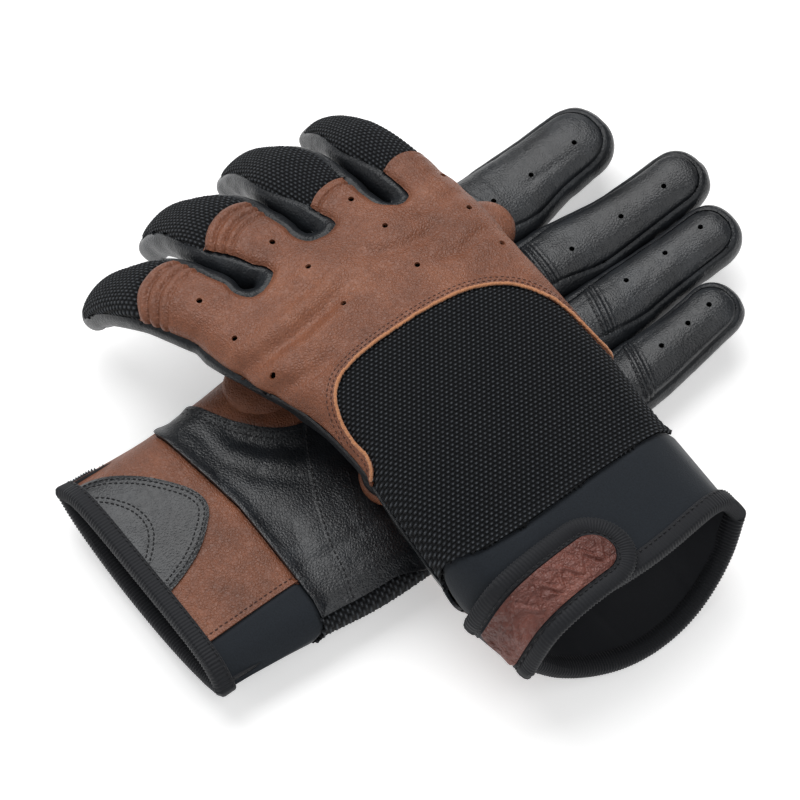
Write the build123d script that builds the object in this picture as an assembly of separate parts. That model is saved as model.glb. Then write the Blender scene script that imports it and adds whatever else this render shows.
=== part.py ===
from build123d import *
import os
from collections import namedtuple
from math import cos, degrees, radians, sin

# A pair of short-cuff riding gloves, one laid across the other. The left glove lies palm up on the
# surface, and the right glove lies back up on it, its fingers and cuff drooping on either side.
# Units are millimetres. Every glove is modelled in its own laid frame: +Y from the cuff mouth to
# the fingers, the thumb on the -X side and +Z up, so the left glove is the right one turned over.
# The row frame stands on the surface, midway between the two gloves, with +Z up.

# ---- driving dimensions -------------------------------------------------------------------------
WALL = 1.3             # leather or knit together with its lining
OVERLAY = 1.1          # a second layer of leather sewn on the first
JOINT_GAP = 0.5        # a moving piece's clearance to its neighbour
CUFF_LENGTH = 42.0
HEM = 2.5              # how far the binding reaches over the cuff's edge
FINGER_HEIGHT = 20.0
THUMB_HEIGHT = 13.0
THUMB_RADIUS = 12.0    # half the thumb's width, and the radius of its two ends
THUMB_HOLE = 8.5       # radius of the way from the hand into the thumb
TAB_REACH = 10.0       # the closure tab's rounded tip, measured from the glove's centre line
TAB_LOW, TAB_HIGH = 3.0, 29.0      # the tab's two long edges, from the cuff mouth
TAB_TAPE = 3.0         # width of the elastic tape round the tab
SIDE_CUT = 31.0        # the wrist leather ends here, and the neoprene goes on round the side

Section = namedtuple("Section", "y low high half_width")
Finger = namedtuple("Finger", "name x y lean length width bend knuckle")
Thumb = namedtuple("Thumb", "x y heading length low")
Glove = namedtuple("Glove", "side back place_x place_y turn sections fingers thumb")

# The sections give the tube's lowest and highest line and its half width at each station.
# A finger has its root's place, its lean towards +X, its length, width and bend towards the palm,
# and the length of the leather over its knuckle. A thumb has its root's place, its heading from +Y
# towards +X, the distance between its ends' centres and its lowest height.
RIGHT = Glove(
    "right", 1, 78.4, -88.9, 42.0,
    [
        Section(-1.5, 1.5, 46.0, 46.0),
        Section(0.0, 1.5, 46.0, 46.0),
        Section(CUFF_LENGTH, 17.0, 54.0, 45.0),
        Section(74.0, 38.4, 61.5, 50.0),
        Section(112.0, 38.6, 64.0, 54.0),
        Section(148.0, 38.6, 61.0, 55.5),
        Section(180.0, 36.5, 56.5, 57.5),
    ],
    [
        Finger("index", -43.3, 163.0, -20.0, 67.0, 25.0, 63.0, 20.0),
        Finger("middle", -14.6, 167.5, -14.0, 75.0, 26.0, 67.0, 20.0),
        Finger("ring", 15.0, 165.5, -5.5, 74.0, 26.0, 63.0, 11.0),
        Finger("little", 42.4, 156.0, -2.0, 64.5, 24.5, 57.0, 0.0),
    ],
    Thumb(-36.0, 88.0, 65.0, 55.0, 23.8),
)
LEFT = Glove(
    "left", -1, -89.9, -80.8, -52.0,
    [
        Section(-1.5, 6.2, 24.5, 47.8),
        Section(0.0, 6.2, 24.5, 47.8),
        Section(32.0, 6.0, 25.0, 47.0),
        Section(56.0, 0.0, 22.2, 48.0),
        Section(100.0, 0.0, 22.2, 52.0),
        Section(150.0, 0.0, 22.2, 55.0),
        Section(185.0, 0.0, 20.0, 58.0),
    ],
    [
        Finger("index", -46.0, 172.0, -11.5, 73.0, 26.5, 12.0, 20.0),
        Finger("middle", -15.6, 176.0, 0.8, 81.0, 26.0, 14.0, 20.0),
        Finger("ring", 11.2, 174.0, 1.2, 79.0, 24.6, 14.0, 11.0),
        Finger("little", 36.7, 166.0, 1.2, 67.0, 24.0, 12.0, 0.0),
    ],
    Thumb(-35.0, 76.0, 2.5, 92.0, 22.7),
)

# The knit panel on the back of the hand: a dome from the wrist up, in the laid frame's plan.
KNIT_DOME = [(-47, 80), (-42, 103), (-14, 114), (10, 112), (31, 104), (44, 84), (47, 52)]
# The reinforcement on the outer half of the palm.
PALM_OVERLAY = [(3, 50), (2, 78), (-6, 104), (-8, 128), (12, 142), (36, 138), (40, 100), (39, 50)]
PATCH_CENTRE, PATCH_RADIUS = -18.0, 31.0     # the half-round patch at the palm side's cuff mouth
FAR = 200.0            # beyond the glove in any direction


# ---- shapes in the laid frame --------------------------------------------------------------------
def prism(points, low=-10.0, high=100.0):
    """An upright prism over a plan outline."""
    return Pos(0, 0, low) * extrude(Polygon(*points, align=None), high - low, dir=(0, 0, 1))


def smooth_prism(points, low=-10.0, high=100.0):
    """An upright prism over an outline that runs smoothly through the points and closes straight."""
    edges = Spline(*points) + Line(points[-1], points[0])
    return Pos(0, 0, low) * extrude(make_face(edges), high - low, dir=(0, 0, 1))


def stadium(x, y, heading, length, radius, low, high):
    """An upright prism with two round ends. The heading is in degrees from +Y towards +X."""
    body = Pos(0, length / 2) * Rectangle(2 * radius, length)
    outline = body + Circle(radius) + Pos(0, length) * Circle(radius)
    return Pos(x, y, low) * Rot(0, 0, -heading) * extrude(outline, high - low, dir=(0, 0, 1))


def tube(glove, grow):
    """The hand and cuff as one solid, its sections grown by that much."""
    faces = []
    for s in glove.sections:
        height = s.high - s.low
        outline = RectangleRounded(
            2 * (s.half_width + grow), height + 2 * grow, 0.42 * height + grow
        )
        plane = Plane(origin=(0, s.y, (s.low + s.high) / 2), x_dir=(1, 0, 0), z_dir=(0, 1, 0))
        faces.append(plane * outline)
    return loft(faces, ruled=True)


def shell(glove, inner, outer):
    return tube(glove, outer) - tube(glove, inner)


def half(glove, upper):
    """Everything above, or below, the tube's middle."""
    line = [(s.y, (s.low + s.high) / 2) for s in glove.sections]
    edge = FAR if upper else -FAR
    outline = line + [(line[-1][0], edge), (line[0][0], edge)]
    return extrude(Plane.YZ * Polygon(*outline, align=None), FAR, both=True)


def root_corners(finger, back_off):
    """The plan's two ends of a finger's root line, moved back along the finger."""
    lean = radians(finger.lean)
    x = finger.x - back_off * sin(lean)
    y = finger.y - back_off * cos(lean)
    across = finger.width / 2 + 0.4
    return [(x - across * cos(lean), y + across * sin(lean)),
            (x + across * cos(lean), y - across * sin(lean))]


def hand_area(glove, y_from):
    """The plan of the hand from a station up to the fingers' roots."""
    front = [corner for f in glove.fingers for corner in root_corners(f, JOINT_GAP)]
    wide = 70.0
    edge = [(-wide, y_from), (-wide, front[0][1])] + front + [(wide, front[-1][1]), (wide, y_from)]
    return prism(edge)


def knit_area():
    left, right = KNIT_DOME[0][0] - 15, KNIT_DOME[-1][0] + 15
    dome = Spline(*KNIT_DOME)
    rim = Polyline((right, KNIT_DOME[-1][1]), (right, CUFF_LENGTH), (left, CUFF_LENGTH),
                   (left, KNIT_DOME[0][1]), KNIT_DOME[0])
    face = make_face(dome + Line(KNIT_DOME[-1], (right, KNIT_DOME[-1][1])) + rim)
    return Pos(0, 0, -10) * extrude(face, 120, dir=(0, 0, 1))


# ---- fingers, in a frame at the root's middle with +Y along the finger ----------------------------
def bend_radius(finger):
    return finger.length / radians(finger.bend)


def sector(width, inner, outer, start, end):
    """Part of a ring about the X axis, from one angle to another, in radians."""
    def at(radius, angle):
        return (radius * sin(angle), -radius * cos(angle))

    middle = (start + end) / 2
    wire = (
        ThreePointArc(at(outer, start), at(outer, middle), at(outer, end))
        + Line(at(outer, end), at(inner, end))
        + ThreePointArc(at(inner, end), at(inner, middle), at(inner, start))
        + Line(at(inner, start), at(outer, start))
    )
    return extrude(Plane.YZ * make_face(wire), width / 2, both=True)


def round_tip(solid, width, radius, end):
    """Cuts the two corners of a sector's far end to a half round."""
    reach = width / 2
    tip = Pos(0, radius * sin(end), -radius * cos(end)) * Rot(degrees(end), 0, 0)
    corner_block = Box(
        width + 2, reach, FINGER_HEIGHT + 20, align=(Align.CENTER, Align.MAX, Align.CENTER)
    )
    bullet = Pos(0, -reach, 0) * Cylinder(reach, FINGER_HEIGHT + 30)
    return solid - tip * (corner_block - bullet)


def finger_parts(glove, finger):
    """The finger's pieces by name: back sheets, palm sheet and the side wall round the tip."""
    radius = bend_radius(finger)
    end = radians(finger.bend)
    inner, outer = radius - FINGER_HEIGHT / 2, radius + FINGER_HEIGHT / 2
    width = finger.width
    split = finger.knuckle / radius
    pieces = {}
    if finger.knuckle:
        pieces["knuckle"] = sector(width, outer - WALL, outer, 0, split)
    pieces["knit"] = round_tip(sector(width, outer - WALL, outer, split, end), width, radius, end)
    pieces["palm"] = round_tip(sector(width, inner, inner + WALL, 0, end), width, radius, end)
    wall = round_tip(
        sector(width, inner + WALL, outer - WALL, 0, end), width, radius, end
    )
    hollow_end = end - WALL / radius
    hollow = round_tip(
        sector(width - 2 * WALL, inner - 1, outer + 1, -0.1, hollow_end),
        width - 2 * WALL, radius, hollow_end,
    )
    pieces["fourchette"] = wall - hollow
    # The palm is on the inside of the bend: below on the right glove, above on the left.
    lay = Pos(0, 0, radius) if glove.back < 0 else Rot(0, 180, 0) * Pos(0, 0, radius)
    place = Pos(finger.x, finger.y, root_height(glove)) * Rot(0, 0, -finger.lean)
    return {name: place * lay * piece for name, piece in pieces.items()}


def root_height(glove):
    """The height of the finger roots' middle."""
    last = glove.sections[-1]
    return (last.low + last.high) / 2


# ---- thumb and tab --------------------------------------------------------------------------------
def thumb_parts(glove):
    """The thumb lies folded over the palm: its back is the outside, its palm faces the hand."""
    t = glove.thumb
    high = t.low + THUMB_HEIGHT
    faces_up = glove.back < 0
    sheet_low, sheet_high = (t.low, t.low + WALL) if faces_up else (high - WALL, high)
    outer = stadium(t.x, t.y, t.heading, t.length, THUMB_RADIUS, t.low, high)
    sheet = stadium(t.x, t.y, t.heading, t.length, THUMB_RADIUS, sheet_low, sheet_high)
    cover_low, cover_high = (t.low, high - WALL) if faces_up else (t.low + WALL, high)
    cavity = stadium(t.x, t.y, t.heading, t.length, THUMB_RADIUS - WALL, cover_low, cover_high)
    hole = Pos(t.x, t.y, 0) * Cylinder(THUMB_HOLE, 4 * FAR)
    return {"thumb_back": outer - sheet - cavity, "thumb_palm": sheet - hole}


def tab_area(glove, inset, reach=TAB_REACH, root=-70.0):
    """The tab's plan: straight from the thumb side, with a half-round tip."""
    low, high = TAB_LOW + inset, TAB_HIGH - inset
    radius = (high - low) / 2
    centre = reach - inset - radius
    strip = prism([(root, low), (centre, low), (centre, high), (root, high)])
    tip = Pos(centre, (low + high) / 2, 45) * Cylinder(radius, 110)
    return strip + tip


def tab_parts(glove):
    back_half = half(glove, glove.back > 0)
    face = JOINT_GAP + 1.0
    body = shell(glove, face, face + 2.2) & back_half
    raised = shell(glove, face, face + 2.6) & back_half
    whole, inner = tab_area(glove, 0.0), tab_area(glove, TAB_TAPE)
    patch = shell(glove, face + 2.2, face + 3.1) & back_half & tab_area(glove, TAB_TAPE + 2.5)
    hook_area = tab_area(glove, TAB_TAPE, root=-22.0)
    hook = shell(glove, JOINT_GAP, face) & back_half & hook_area
    return {
        "closure_tab": body & inner,
        "tab_binding": (raised & whole) - inner,
        "tab_patch": patch,
        "hook_patch": hook,
    }


# ---- hand and cuff --------------------------------------------------------------------------------
def hand_parts(glove):
    wall = shell(glove, -WALL, 0)
    back_half, palm_half = half(glove, glove.back > 0), half(glove, glove.back < 0)
    hand = hand_area(glove, CUFF_LENGTH)
    knit = knit_area()
    t = glove.thumb
    thumb_hole = Pos(t.x, t.y, 0) * Cylinder(THUMB_HOLE, 4 * FAR)
    cuff = wall & prism([(-FAR, HEM), (FAR, HEM), (FAR, CUFF_LENGTH), (-FAR, CUFF_LENGTH)])
    wrist_leather = cuff & palm_half & prism(
        [(-FAR, HEM), (SIDE_CUT, HEM), (SIDE_CUT, CUFF_LENGTH), (-FAR, CUFF_LENGTH)]
    )
    overlay = shell(glove, 0, OVERLAY) & palm_half
    half_disc = Pos(PATCH_CENTRE, HEM + 2, 40) * Cylinder(PATCH_RADIUS, 110)
    above_hem = prism([(-FAR, HEM), (FAR, HEM), (FAR, FAR), (-FAR, FAR)])
    ring = shell(glove, -WALL - 0.7, 0.7)
    hem = prism([(-FAR, -1.5), (FAR, -1.5), (FAR, HEM), (-FAR, HEM)])
    return {
        "back_leather": (wall & back_half & hand) - knit,
        "back_knit": wall & back_half & knit & hand,
        "palm_leather": (wall & palm_half & hand) - thumb_hole,
        "palm_overlay": overlay & smooth_prism(PALM_OVERLAY),
        "cuff_neoprene": cuff - wrist_leather,
        "cuff_leather": wrist_leather,
        "crescent_patch": overlay & half_disc & above_hem,
        "cuff_binding": ring & hem,
    }


def place(glove):
    """From the glove's laid frame to the row frame."""
    return Pos(glove.place_x, glove.place_y, 0) * Rot(0, 0, glove.turn)


def glove_parts(glove):
    pieces = dict(hand_parts(glove))
    pieces.update(tab_parts(glove))
    pieces.update(thumb_parts(glove))
    for finger in glove.fingers:
        for name, piece in finger_parts(glove, finger).items():
            pieces[f"{finger.name}_{name}"] = piece
    return {f"{glove.side}_{name}": place(glove) * piece for name, piece in pieces.items()}


def main():
    os.makedirs("parts", exist_ok=True)
    for glove in (LEFT, RIGHT):
        for name, piece in glove_parts(glove).items():
            export_step(piece, f"parts/{name}.step")


main()
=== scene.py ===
import math
from collections import namedtuple

import bpy
import numpy as np
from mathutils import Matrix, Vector, kdtree
from mathutils.bvhtree import BVHTree


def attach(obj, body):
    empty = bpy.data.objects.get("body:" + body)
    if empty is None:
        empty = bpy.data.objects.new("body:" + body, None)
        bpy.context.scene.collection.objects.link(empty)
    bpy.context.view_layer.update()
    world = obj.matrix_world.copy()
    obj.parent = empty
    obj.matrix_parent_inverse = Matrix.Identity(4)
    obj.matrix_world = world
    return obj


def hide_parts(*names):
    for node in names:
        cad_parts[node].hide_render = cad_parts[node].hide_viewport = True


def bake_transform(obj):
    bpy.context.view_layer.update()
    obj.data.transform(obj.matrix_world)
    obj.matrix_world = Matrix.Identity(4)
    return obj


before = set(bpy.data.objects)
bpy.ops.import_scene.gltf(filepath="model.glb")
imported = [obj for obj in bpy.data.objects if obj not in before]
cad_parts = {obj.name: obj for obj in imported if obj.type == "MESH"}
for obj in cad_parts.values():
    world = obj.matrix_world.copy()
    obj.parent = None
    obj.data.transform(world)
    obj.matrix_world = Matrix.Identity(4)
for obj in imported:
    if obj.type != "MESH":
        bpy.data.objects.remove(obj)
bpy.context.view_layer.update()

MM = 0.001
rng = np.random.default_rng(7)

# ---- the gloves' shape, in millimetres -----------------------------------------------------------
# Every glove is made in its own flat frame: +Y from the cuff mouth to the fingers, the thumb on the
# -X side and +Z towards the back of the hand. It is then bent into its laid shape.
Section = namedtuple("Section", "y low high left right")
Finger = namedtuple("Finger", "name x y lean length width bend knuckle")
Thumb = namedtuple("Thumb", "x y heading length radius low high")
Glove = namedtuple("Glove", "side back place_x place_y turn sections fingers thumb mouth")

RIGHT = Glove(
    "right", 1, 78.4, -88.9, 42.0,
    [
        Section(-14.0, 0.0, 45.0, -46.0, 45.0),
        Section(4.0, 2.5, 46.5, -46.5, 45.0),
        Section(42.0, 18.5, 55.0, -53.5, 43.0),
        Section(66.0, 34.0, 60.5, -52.0, 44.0),
        Section(84.0, 38.6, 63.0, -48.5, 46.0),
        Section(112.0, 38.6, 64.5, -48.5, 49.0),
        Section(145.0, 38.6, 62.0, -57.5, 51.2),
        Section(180.0, 36.5, 56.5, -60.0, 51.0),
    ],
    [
        Finger("index", -44.6, 162.5, -21.0, 68.5, 26.5, 66.0, 26.5),
        Finger("middle", -14.4, 168.0, -14.0, 75.0, 26.5, 70.0, 23.5),
        Finger("ring", 14.8, 166.0, -5.5, 74.5, 25.0, 67.0, 9.0),
        Finger("little", 39.9, 157.0, 1.0, 68.0, 22.0, 54.0, 10.0),
    ],
    Thumb(-36.0, 88.0, 65.0, 55.0, 12.0, 23.9, 36.6),
    (0.7, -0.08, 0.24, 7.0, 44.0),
)
LEFT = Glove(
    "left", -1, -89.9, -80.8, -52.0,
    [
        Section(-14.0, 7.4, 24.0, -46.5, 47.5),
        Section(4.0, 7.0, 24.5, -46.5, 48.5),
        Section(34.0, 5.0, 24.6, -45.0, 51.5),
        Section(60.0, 0.0, 22.4, -48.0, 54.0),
        Section(100.0, 0.0, 22.4, -53.0, 54.5),
        Section(150.0, 0.0, 22.2, -56.0, 51.5),
        Section(185.0, 0.0, 20.0, -58.0, 50.0),
    ],
    [
        Finger("index", -48.7, 171.5, -1.2, 71.5, 31.0, 12.0, 26.5),
        Finger("middle", -15.0, 175.5, 2.0, 83.0, 25.6, 14.0, 23.5),
        Finger("ring", 10.8, 173.5, 1.6, 78.5, 24.6, 14.0, 9.0),
        Finger("little", 41.2, 165.5, -4.2, 66.5, 22.6, 12.0, 10.0),
    ],
    Thumb(-36.0, 76.0, 1.2, 98.0, 12.3, 22.9, 36.5),
    (-1.9, 0.0, 0.13, 0.0, 24.5),
)
ROW, DASH = 1.35, 1.9    # the knit: between its rows, and along a row
FORK_GAP = 1.2          # between the side strips of two neighbouring fingers
TIP = 0.93              # a fingertip's round part, in half widths
HALF = 10.5             # the flat glove's half thickness
FLAT_BOX = (-86, -24, -13), (72, 266, 13)      # holds a flat glove


def graded(full):
    return full


CELL = graded(1.0)


# ---- small numeric helpers -----------------------------------------------------------------------
def step(a, b, x):
    """0 below a, 1 above b, smooth between. a may be larger than b."""
    t = np.clip((x - a) / (b - a), 0.0, 1.0)
    return t * t * (3 - 2 * t)


def smin(a, b, k):
    h = np.clip(0.5 + 0.5 * (b - a) / k, 0, 1)
    return b + (a - b) * h - k * h * (1 - h)


def smooth_line(ys, vs, sigma):
    """Piecewise linear values, smoothed: a function of y."""
    grid = np.arange(-40.0, 300.0, 1.0)
    v = np.interp(grid, ys, vs)
    kernel = np.exp(-0.5 * (np.arange(-30, 31) / sigma) ** 2)
    kernel /= kernel.sum()
    v = np.convolve(np.pad(v, 30, mode="edge"), kernel, mode="valid")
    return lambda y: np.interp(y, grid, v)


def hash_noise(cells, seed):
    """One pseudo-random number, -1 to 1, for each integer cell."""
    n = cells[..., 0] * 15731 + cells[..., 1] * 789221 + cells[..., 2] * 1376312589 + seed * 7919
    n = (n << 13) ^ n
    n = (n * (n * n * 15731 + 789221) + 1376312589) & 0x7FFFFFFF
    return 1.0 - n / 1073741824.0


def noise(p, scale, seed=0):
    """Smooth value noise, about -1 to 1, over points in millimetres."""
    q = np.asarray(p, dtype=np.float64) / scale
    base = np.floor(q).astype(np.int64)
    f = q - base
    f = f * f * f * (f * (f * 6 - 15) + 10)
    total = 0.0
    for dx in (0, 1):
        for dy in (0, 1):
            for dz in (0, 1):
                w = (np.abs(1 - dx - f[..., 0]) * np.abs(1 - dy - f[..., 1])
                     * np.abs(1 - dz - f[..., 2]))
                total = total + w * hash_noise(base + np.array([dx, dy, dz]), seed)
    return total


def ridges(p, scale, seed=0):
    """Sharp creases on smooth swellings: 0 on a crease, up to 1 between."""
    return np.minimum(1.0, 2.2 * np.abs(noise(p, scale, seed)))


# ---- the flat glove as a field --------------------------------------------------------------------
class Flat:
    """One glove's flat shape: its outline, its fingers' own coordinates and its bent place."""

    def __init__(self, glove):
        self.g = glove
        ys = [s.y for s in glove.sections]
        self.left = smooth_line(ys, [s.left for s in glove.sections], 7.0)
        self.right = smooth_line(ys, [s.right for s in glove.sections], 7.0)
        self.low = smooth_line(ys, [s.low for s in glove.sections], 6.0)
        self.high = smooth_line(ys, [s.high for s in glove.sections], 6.0)
        roots = [(f.x, f.y) for f in glove.fingers]
        xs = [-80, roots[0][0]]
        front = [roots[0][1] - 4, roots[0][1] - 2]
        for (xa, ya), (xb, yb) in zip(roots, roots[1:]):
            xs += [(xa + xb) / 2, xb]
            front += [min(ya, yb) - 3.0, yb - 2]
        self.front_x, self.front_y = xs + [80], front + [roots[-1][1] - 4]

    def across(self, x, y):
        """How far a point lies from the middle line, and the half width there."""
        left, right = self.left(y), self.right(y)
        return x - (left + right) / 2, (right - left) / 2

    def local(self, finger, x, y):
        """A finger's own coordinates: along it from its root, and across it."""
        a = math.radians(finger.lean)
        dx, dy = x - finger.x, y - finger.y
        return dx * math.sin(a) + dy * math.cos(a), dx * math.cos(a) - dy * math.sin(a)

    def girth(self, finger, s):
        """Half the finger's width along it."""
        q = s / finger.length
        if self.g.back > 0:
            thin = 0.08 * step(0.10, 0.45, q) + 0.26 * step(0.40, 1.0, q)
        else:
            thin = 0.03 * step(0.02, 0.3, q) + 0.05 * step(0.4, 1.0, q)
        return finger.width / 2 * (1.0 - thin - 0.02 * np.cos(q * 9.0))

    def half_width(self, finger, s, u):
        """Half the width on the side of u: the side strips swell until they nearly touch in the forks."""
        a = self.girth(finger, s)
        i = [f.name for f in self.g.fingers].index(finger.name)
        lean = math.radians(finger.lean)
        cx, cy = finger.x + s * math.sin(lean), finger.y + s * math.cos(lean)
        for j, side in ((i - 1, -1), (i + 1, 1)):
            if not 0 <= j < len(self.g.fingers):
                continue
            other = self.g.fingers[j]
            so, uo = self.local(other, cx, cy)
            gap = np.abs(uo) - a - self.girth(other, so) - FORK_GAP
            fill = 0.5 * np.clip(gap, 0, 11.0) * step(0.0, 5.0, s) * (1 - step(18.0, 46.0, s))
            a = np.where(u * side > 0, a + fill * step(0.0, 4.0, np.abs(u)), a)
        return a

    def finger_field(self, finger, x, y, z):
        s, u = self.local(finger, x, y)
        a0 = finger.width / 2
        a = self.half_width(finger, s, u)
        end = finger.length - a0 * TIP
        sc = np.maximum(s - end, 0.0) / 1.03
        back = np.maximum(-24.0 - s, 0.0)
        n = 2.35
        ru = np.abs(u) / a
        q = s / finger.length
        flatten = 1.0 if self.g.back > 0 else 0.55
        rz = np.abs(z) / (HALF * (1.0 - flatten * (0.14 * step(0.05, 0.4, q) + 0.26 * step(0.4, 1.0, q))))
        rs = np.maximum(sc, back) / a0
        r = (ru ** n + rz ** n + rs ** n) ** (1 / n)
        return (r - 1.0) * np.minimum(a, HALF)

    def hand_field(self, x, y, z):
        off, hw = self.across(x, y)
        front = np.interp(x, self.front_x, self.front_y)
        r = HALF - 1.0
        qx = np.abs(off) - (hw - r)
        qz = np.abs(z) - (HALF - r)
        qy = y - (front - 5.0)
        qx, qz, qy = np.maximum(qx, -r), np.maximum(qz, -r), np.maximum(qy, -40.0)
        outside = np.sqrt(np.maximum(qx, 0) ** 2 + np.maximum(qz, 0) ** 2 + np.maximum(qy, 0) ** 2)
        inside = np.minimum(np.maximum(np.maximum(qx, qz), qy), 0)
        return outside + inside - r * (qy < 5) - np.where(qy < 5, 0, r)

    def field(self, x, y, z):
        d = self.hand_field(x, y, z)
        tips = None
        for f in self.g.fingers:
            t = self.finger_field(f, x, y, z)
            tips = t if tips is None else smin(tips, t, 0.9)
        return smin(d, tips, 3.0)

    def plan(self, x, y):
        """How deep a point lies inside the flat outline seen from above."""
        off, hw = self.across(x, y)
        front = np.interp(x, self.front_x, self.front_y)
        d = np.maximum(np.abs(off) - hw, y - front - 4.0)
        for f in self.g.fingers:
            s, u = self.local(f, x, y)
            a0 = f.width / 2
            a = self.half_width(f, s, u)
            end = f.length - a0 * TIP
            tip = np.sqrt(u * u + np.maximum(s - end, 0) ** 2) - a
            tip = np.maximum(tip, -24.0 - s)
            d = smin(d, tip, 1.0)
        return -d

    def away(self, finger, x, y):
        """How far to the side of a finger's line a point lies, or beyond its tip."""
        s, u = self.local(finger, x, y)
        return np.abs(u) + 2.0 * np.maximum(s - finger.length, 0)

    def nearest_finger(self, x, y):
        best, which = None, None
        for i, f in enumerate(self.g.fingers):
            s, _ = self.local(f, x, y)
            d = self.away(f, x, y) + np.maximum(-s, 0) * 0.15
            if best is None:
                best, which = d, np.zeros(x.shape, int)
            else:
                which = np.where(d < best, i, which)
                best = np.minimum(best, d)
        return which

    def hand_place(self, x, y, z):
        """The laid frame's place of a flat point of the hand or cuff."""
        low, high = self.low(y), self.high(y)
        mid, half = (low + high) / 2, (high - low) / 2
        off, hw = self.across(x, y)
        share = np.clip(np.abs(off) / hw, 0, 1)
        # the open cuff's upper lip is nearly flat and its lower lip sags; the hand is a slab
        # with a gentle dome
        cuff = 1 - step(2.0, 56.0, y)
        up = self.g.back * z > 0
        open_shape = np.where(up, np.clip(1 - share ** 4.5, 0.03, 1) ** 0.6,
                              np.clip(1 - share ** 2.1, 0.03, 1) ** 0.8)
        dome = 1 - 0.30 * share ** 2.6
        shape = cuff * open_shape + (1 - cuff) * dome
        zz = mid + self.g.back * z * half / HALF * shape
        return np.stack([x, y, zz], -1)

    def mouth(self, p):
        """Positive inside the cuff, for a flat point: the mouth is a slanted cut."""
        start, skew, slant, corner, top = self.g.mouth
        off, hw = self.across(p[:, 0], p[:, 1])
        laid = self.hand_place(p[:, 0], p[:, 1], p[:, 2])
        edge = start + skew * off - slant * (top - laid[:, 2]) + corner * (off / hw) ** 2
        return p[:, 1] - edge

    def finger_place(self, finger, x, y, z):
        s, u = self.local(finger, x, y)
        a = math.radians(finger.lean)
        root = self.hand_place(np.array([finger.x * 0.8]), np.array([finger.y]), np.array([0.0]))[0]
        n = 200
        ss = np.linspace(0, finger.length * 1.15, n)
        ds = ss[1] - ss[0]
        q = ss / finger.length
        # most of the bend sits in the two joints
        turn = 0.35 * q + 0.35 * step(0.22, 0.55, q) + 0.30 * step(0.55, 0.9, q)
        phi = math.radians(finger.bend) * turn
        cy = np.concatenate([[0], np.cumsum(np.cos(phi[:-1]) * ds)])
        cz = -np.concatenate([[0], np.cumsum(np.sin(phi[:-1]) * ds)])
        sp = np.maximum(s, 0)
        p = np.interp(sp, ss, phi)
        along = np.interp(sp, ss, cy) + z * np.sin(p) + np.minimum(s, 0)
        up = np.interp(sp, ss, cz) + z * np.cos(p)
        px = finger.x + along * math.sin(a) + u * math.cos(a)
        py = finger.y + along * math.cos(a) - u * math.sin(a)
        flat_hand = self.hand_place(x, y, z)
        t = step(-14.0, 4.0, s)
        pz = root[2] + self.g.back * up
        bent = np.stack([px, py, pz], -1)
        return flat_hand * (1 - t)[..., None] + bent * t[..., None]

    def place(self, p):
        """The row frame's place, in millimetres, of flat points."""
        x, y, z = p[:, 0], p[:, 1], p[:, 2]
        weights, places = [], []
        for f in self.g.fingers:
            d = np.maximum(self.away(f, x, y) - f.width * 0.5, 0.0)
            weights.append(np.exp(-((d / 1.6) ** 2)) + 1e-9)
            places.append(self.finger_place(f, x, y, z))
        w = np.stack(weights, 0)
        w /= w.sum(0)
        laid = (np.stack(places, 0) * w[..., None]).sum(0)
        return self.to_row(laid)

    def to_row(self, laid):
        a = math.radians(self.g.turn)
        out = np.array(laid, dtype=np.float64)
        out[:, 0] = self.g.place_x + laid[:, 0] * math.cos(a) - laid[:, 1] * math.sin(a)
        out[:, 1] = self.g.place_y + laid[:, 0] * math.sin(a) + laid[:, 1] * math.cos(a)
        return out


def surface_nets(field, low, high, cell):
    """The zero surface of a field as vertices and quads."""
    axes = [np.arange(a, b + cell, cell) for a, b in zip(low, high)]
    n = [len(a) for a in axes]
    values = np.empty(n, dtype=np.float32)
    ax, ay, az = axes
    for i in range(0, n[1], 40):
        block = ay[i:i + 40]
        gx, gy, gz = np.meshgrid(ax, block, az, indexing="ij")
        values[:, i:i + 40, :] = field(gx, gy, gz)
    inside = values < 0
    total = np.zeros([m - 1 for m in n], dtype=np.int32)
    for dx in (0, 1):
        for dy in (0, 1):
            for dz in (0, 1):
                total += inside[dx:n[0] - 1 + dx, dy:n[1] - 1 + dy, dz:n[2] - 1 + dz]
    mixed = (total > 0) & (total < 8)
    index = -np.ones(mixed.shape, dtype=np.int64)
    cells = np.argwhere(mixed)
    index[mixed] = np.arange(len(cells))
    sums = np.zeros((len(cells), 3))
    counts = np.zeros(len(cells))
    corners = [(a, b, c) for a in (0, 1) for b in (0, 1) for c in (0, 1)]
    for a in corners:
        for k in range(3):
            if a[k]:
                continue
            b = list(a)
            b[k] = 1
            va = values[tuple((cells + a).T)]
            vb = values[tuple((cells + b).T)]
            cross = (va < 0) != (vb < 0)
            t = np.where(cross, va / np.where(cross, va - vb, 1), 0)
            point = np.array(a)[None, :] + t[:, None] * (np.array(b) - np.array(a))[None, :]
            sums += point * cross[:, None]
            counts += cross
    verts = (cells + sums / counts[:, None]) * cell + np.array(low)
    quads = []
    for k in range(3):
        other = [j for j in range(3) if j != k]
        lead = [slice(None)] * 3
        a_sl, b_sl = list(lead), list(lead)
        a_sl[k], b_sl[k] = slice(0, n[k] - 1), slice(1, n[k])
        change = inside[tuple(a_sl)] != inside[tuple(b_sl)]
        edge = np.argwhere(change)
        ok = np.all((edge[:, other] > 0) & (edge[:, other] < np.array(n)[other] - 1), axis=1)
        edge = edge[ok]
        e1, e2 = np.zeros(3, int), np.zeros(3, int)
        e1[other[0]], e2[other[1]] = 1, 1
        loop = [index[tuple(c.T)] for c in (edge - e1 - e2, edge - e2, edge, edge - e1)]
        quad = np.stack(loop, 1)
        flip = inside[tuple(edge.T)] == (k == 1)
        quad[flip] = quad[flip][:, ::-1]
        quads.append(quad)
    return verts, np.concatenate(quads)


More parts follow.
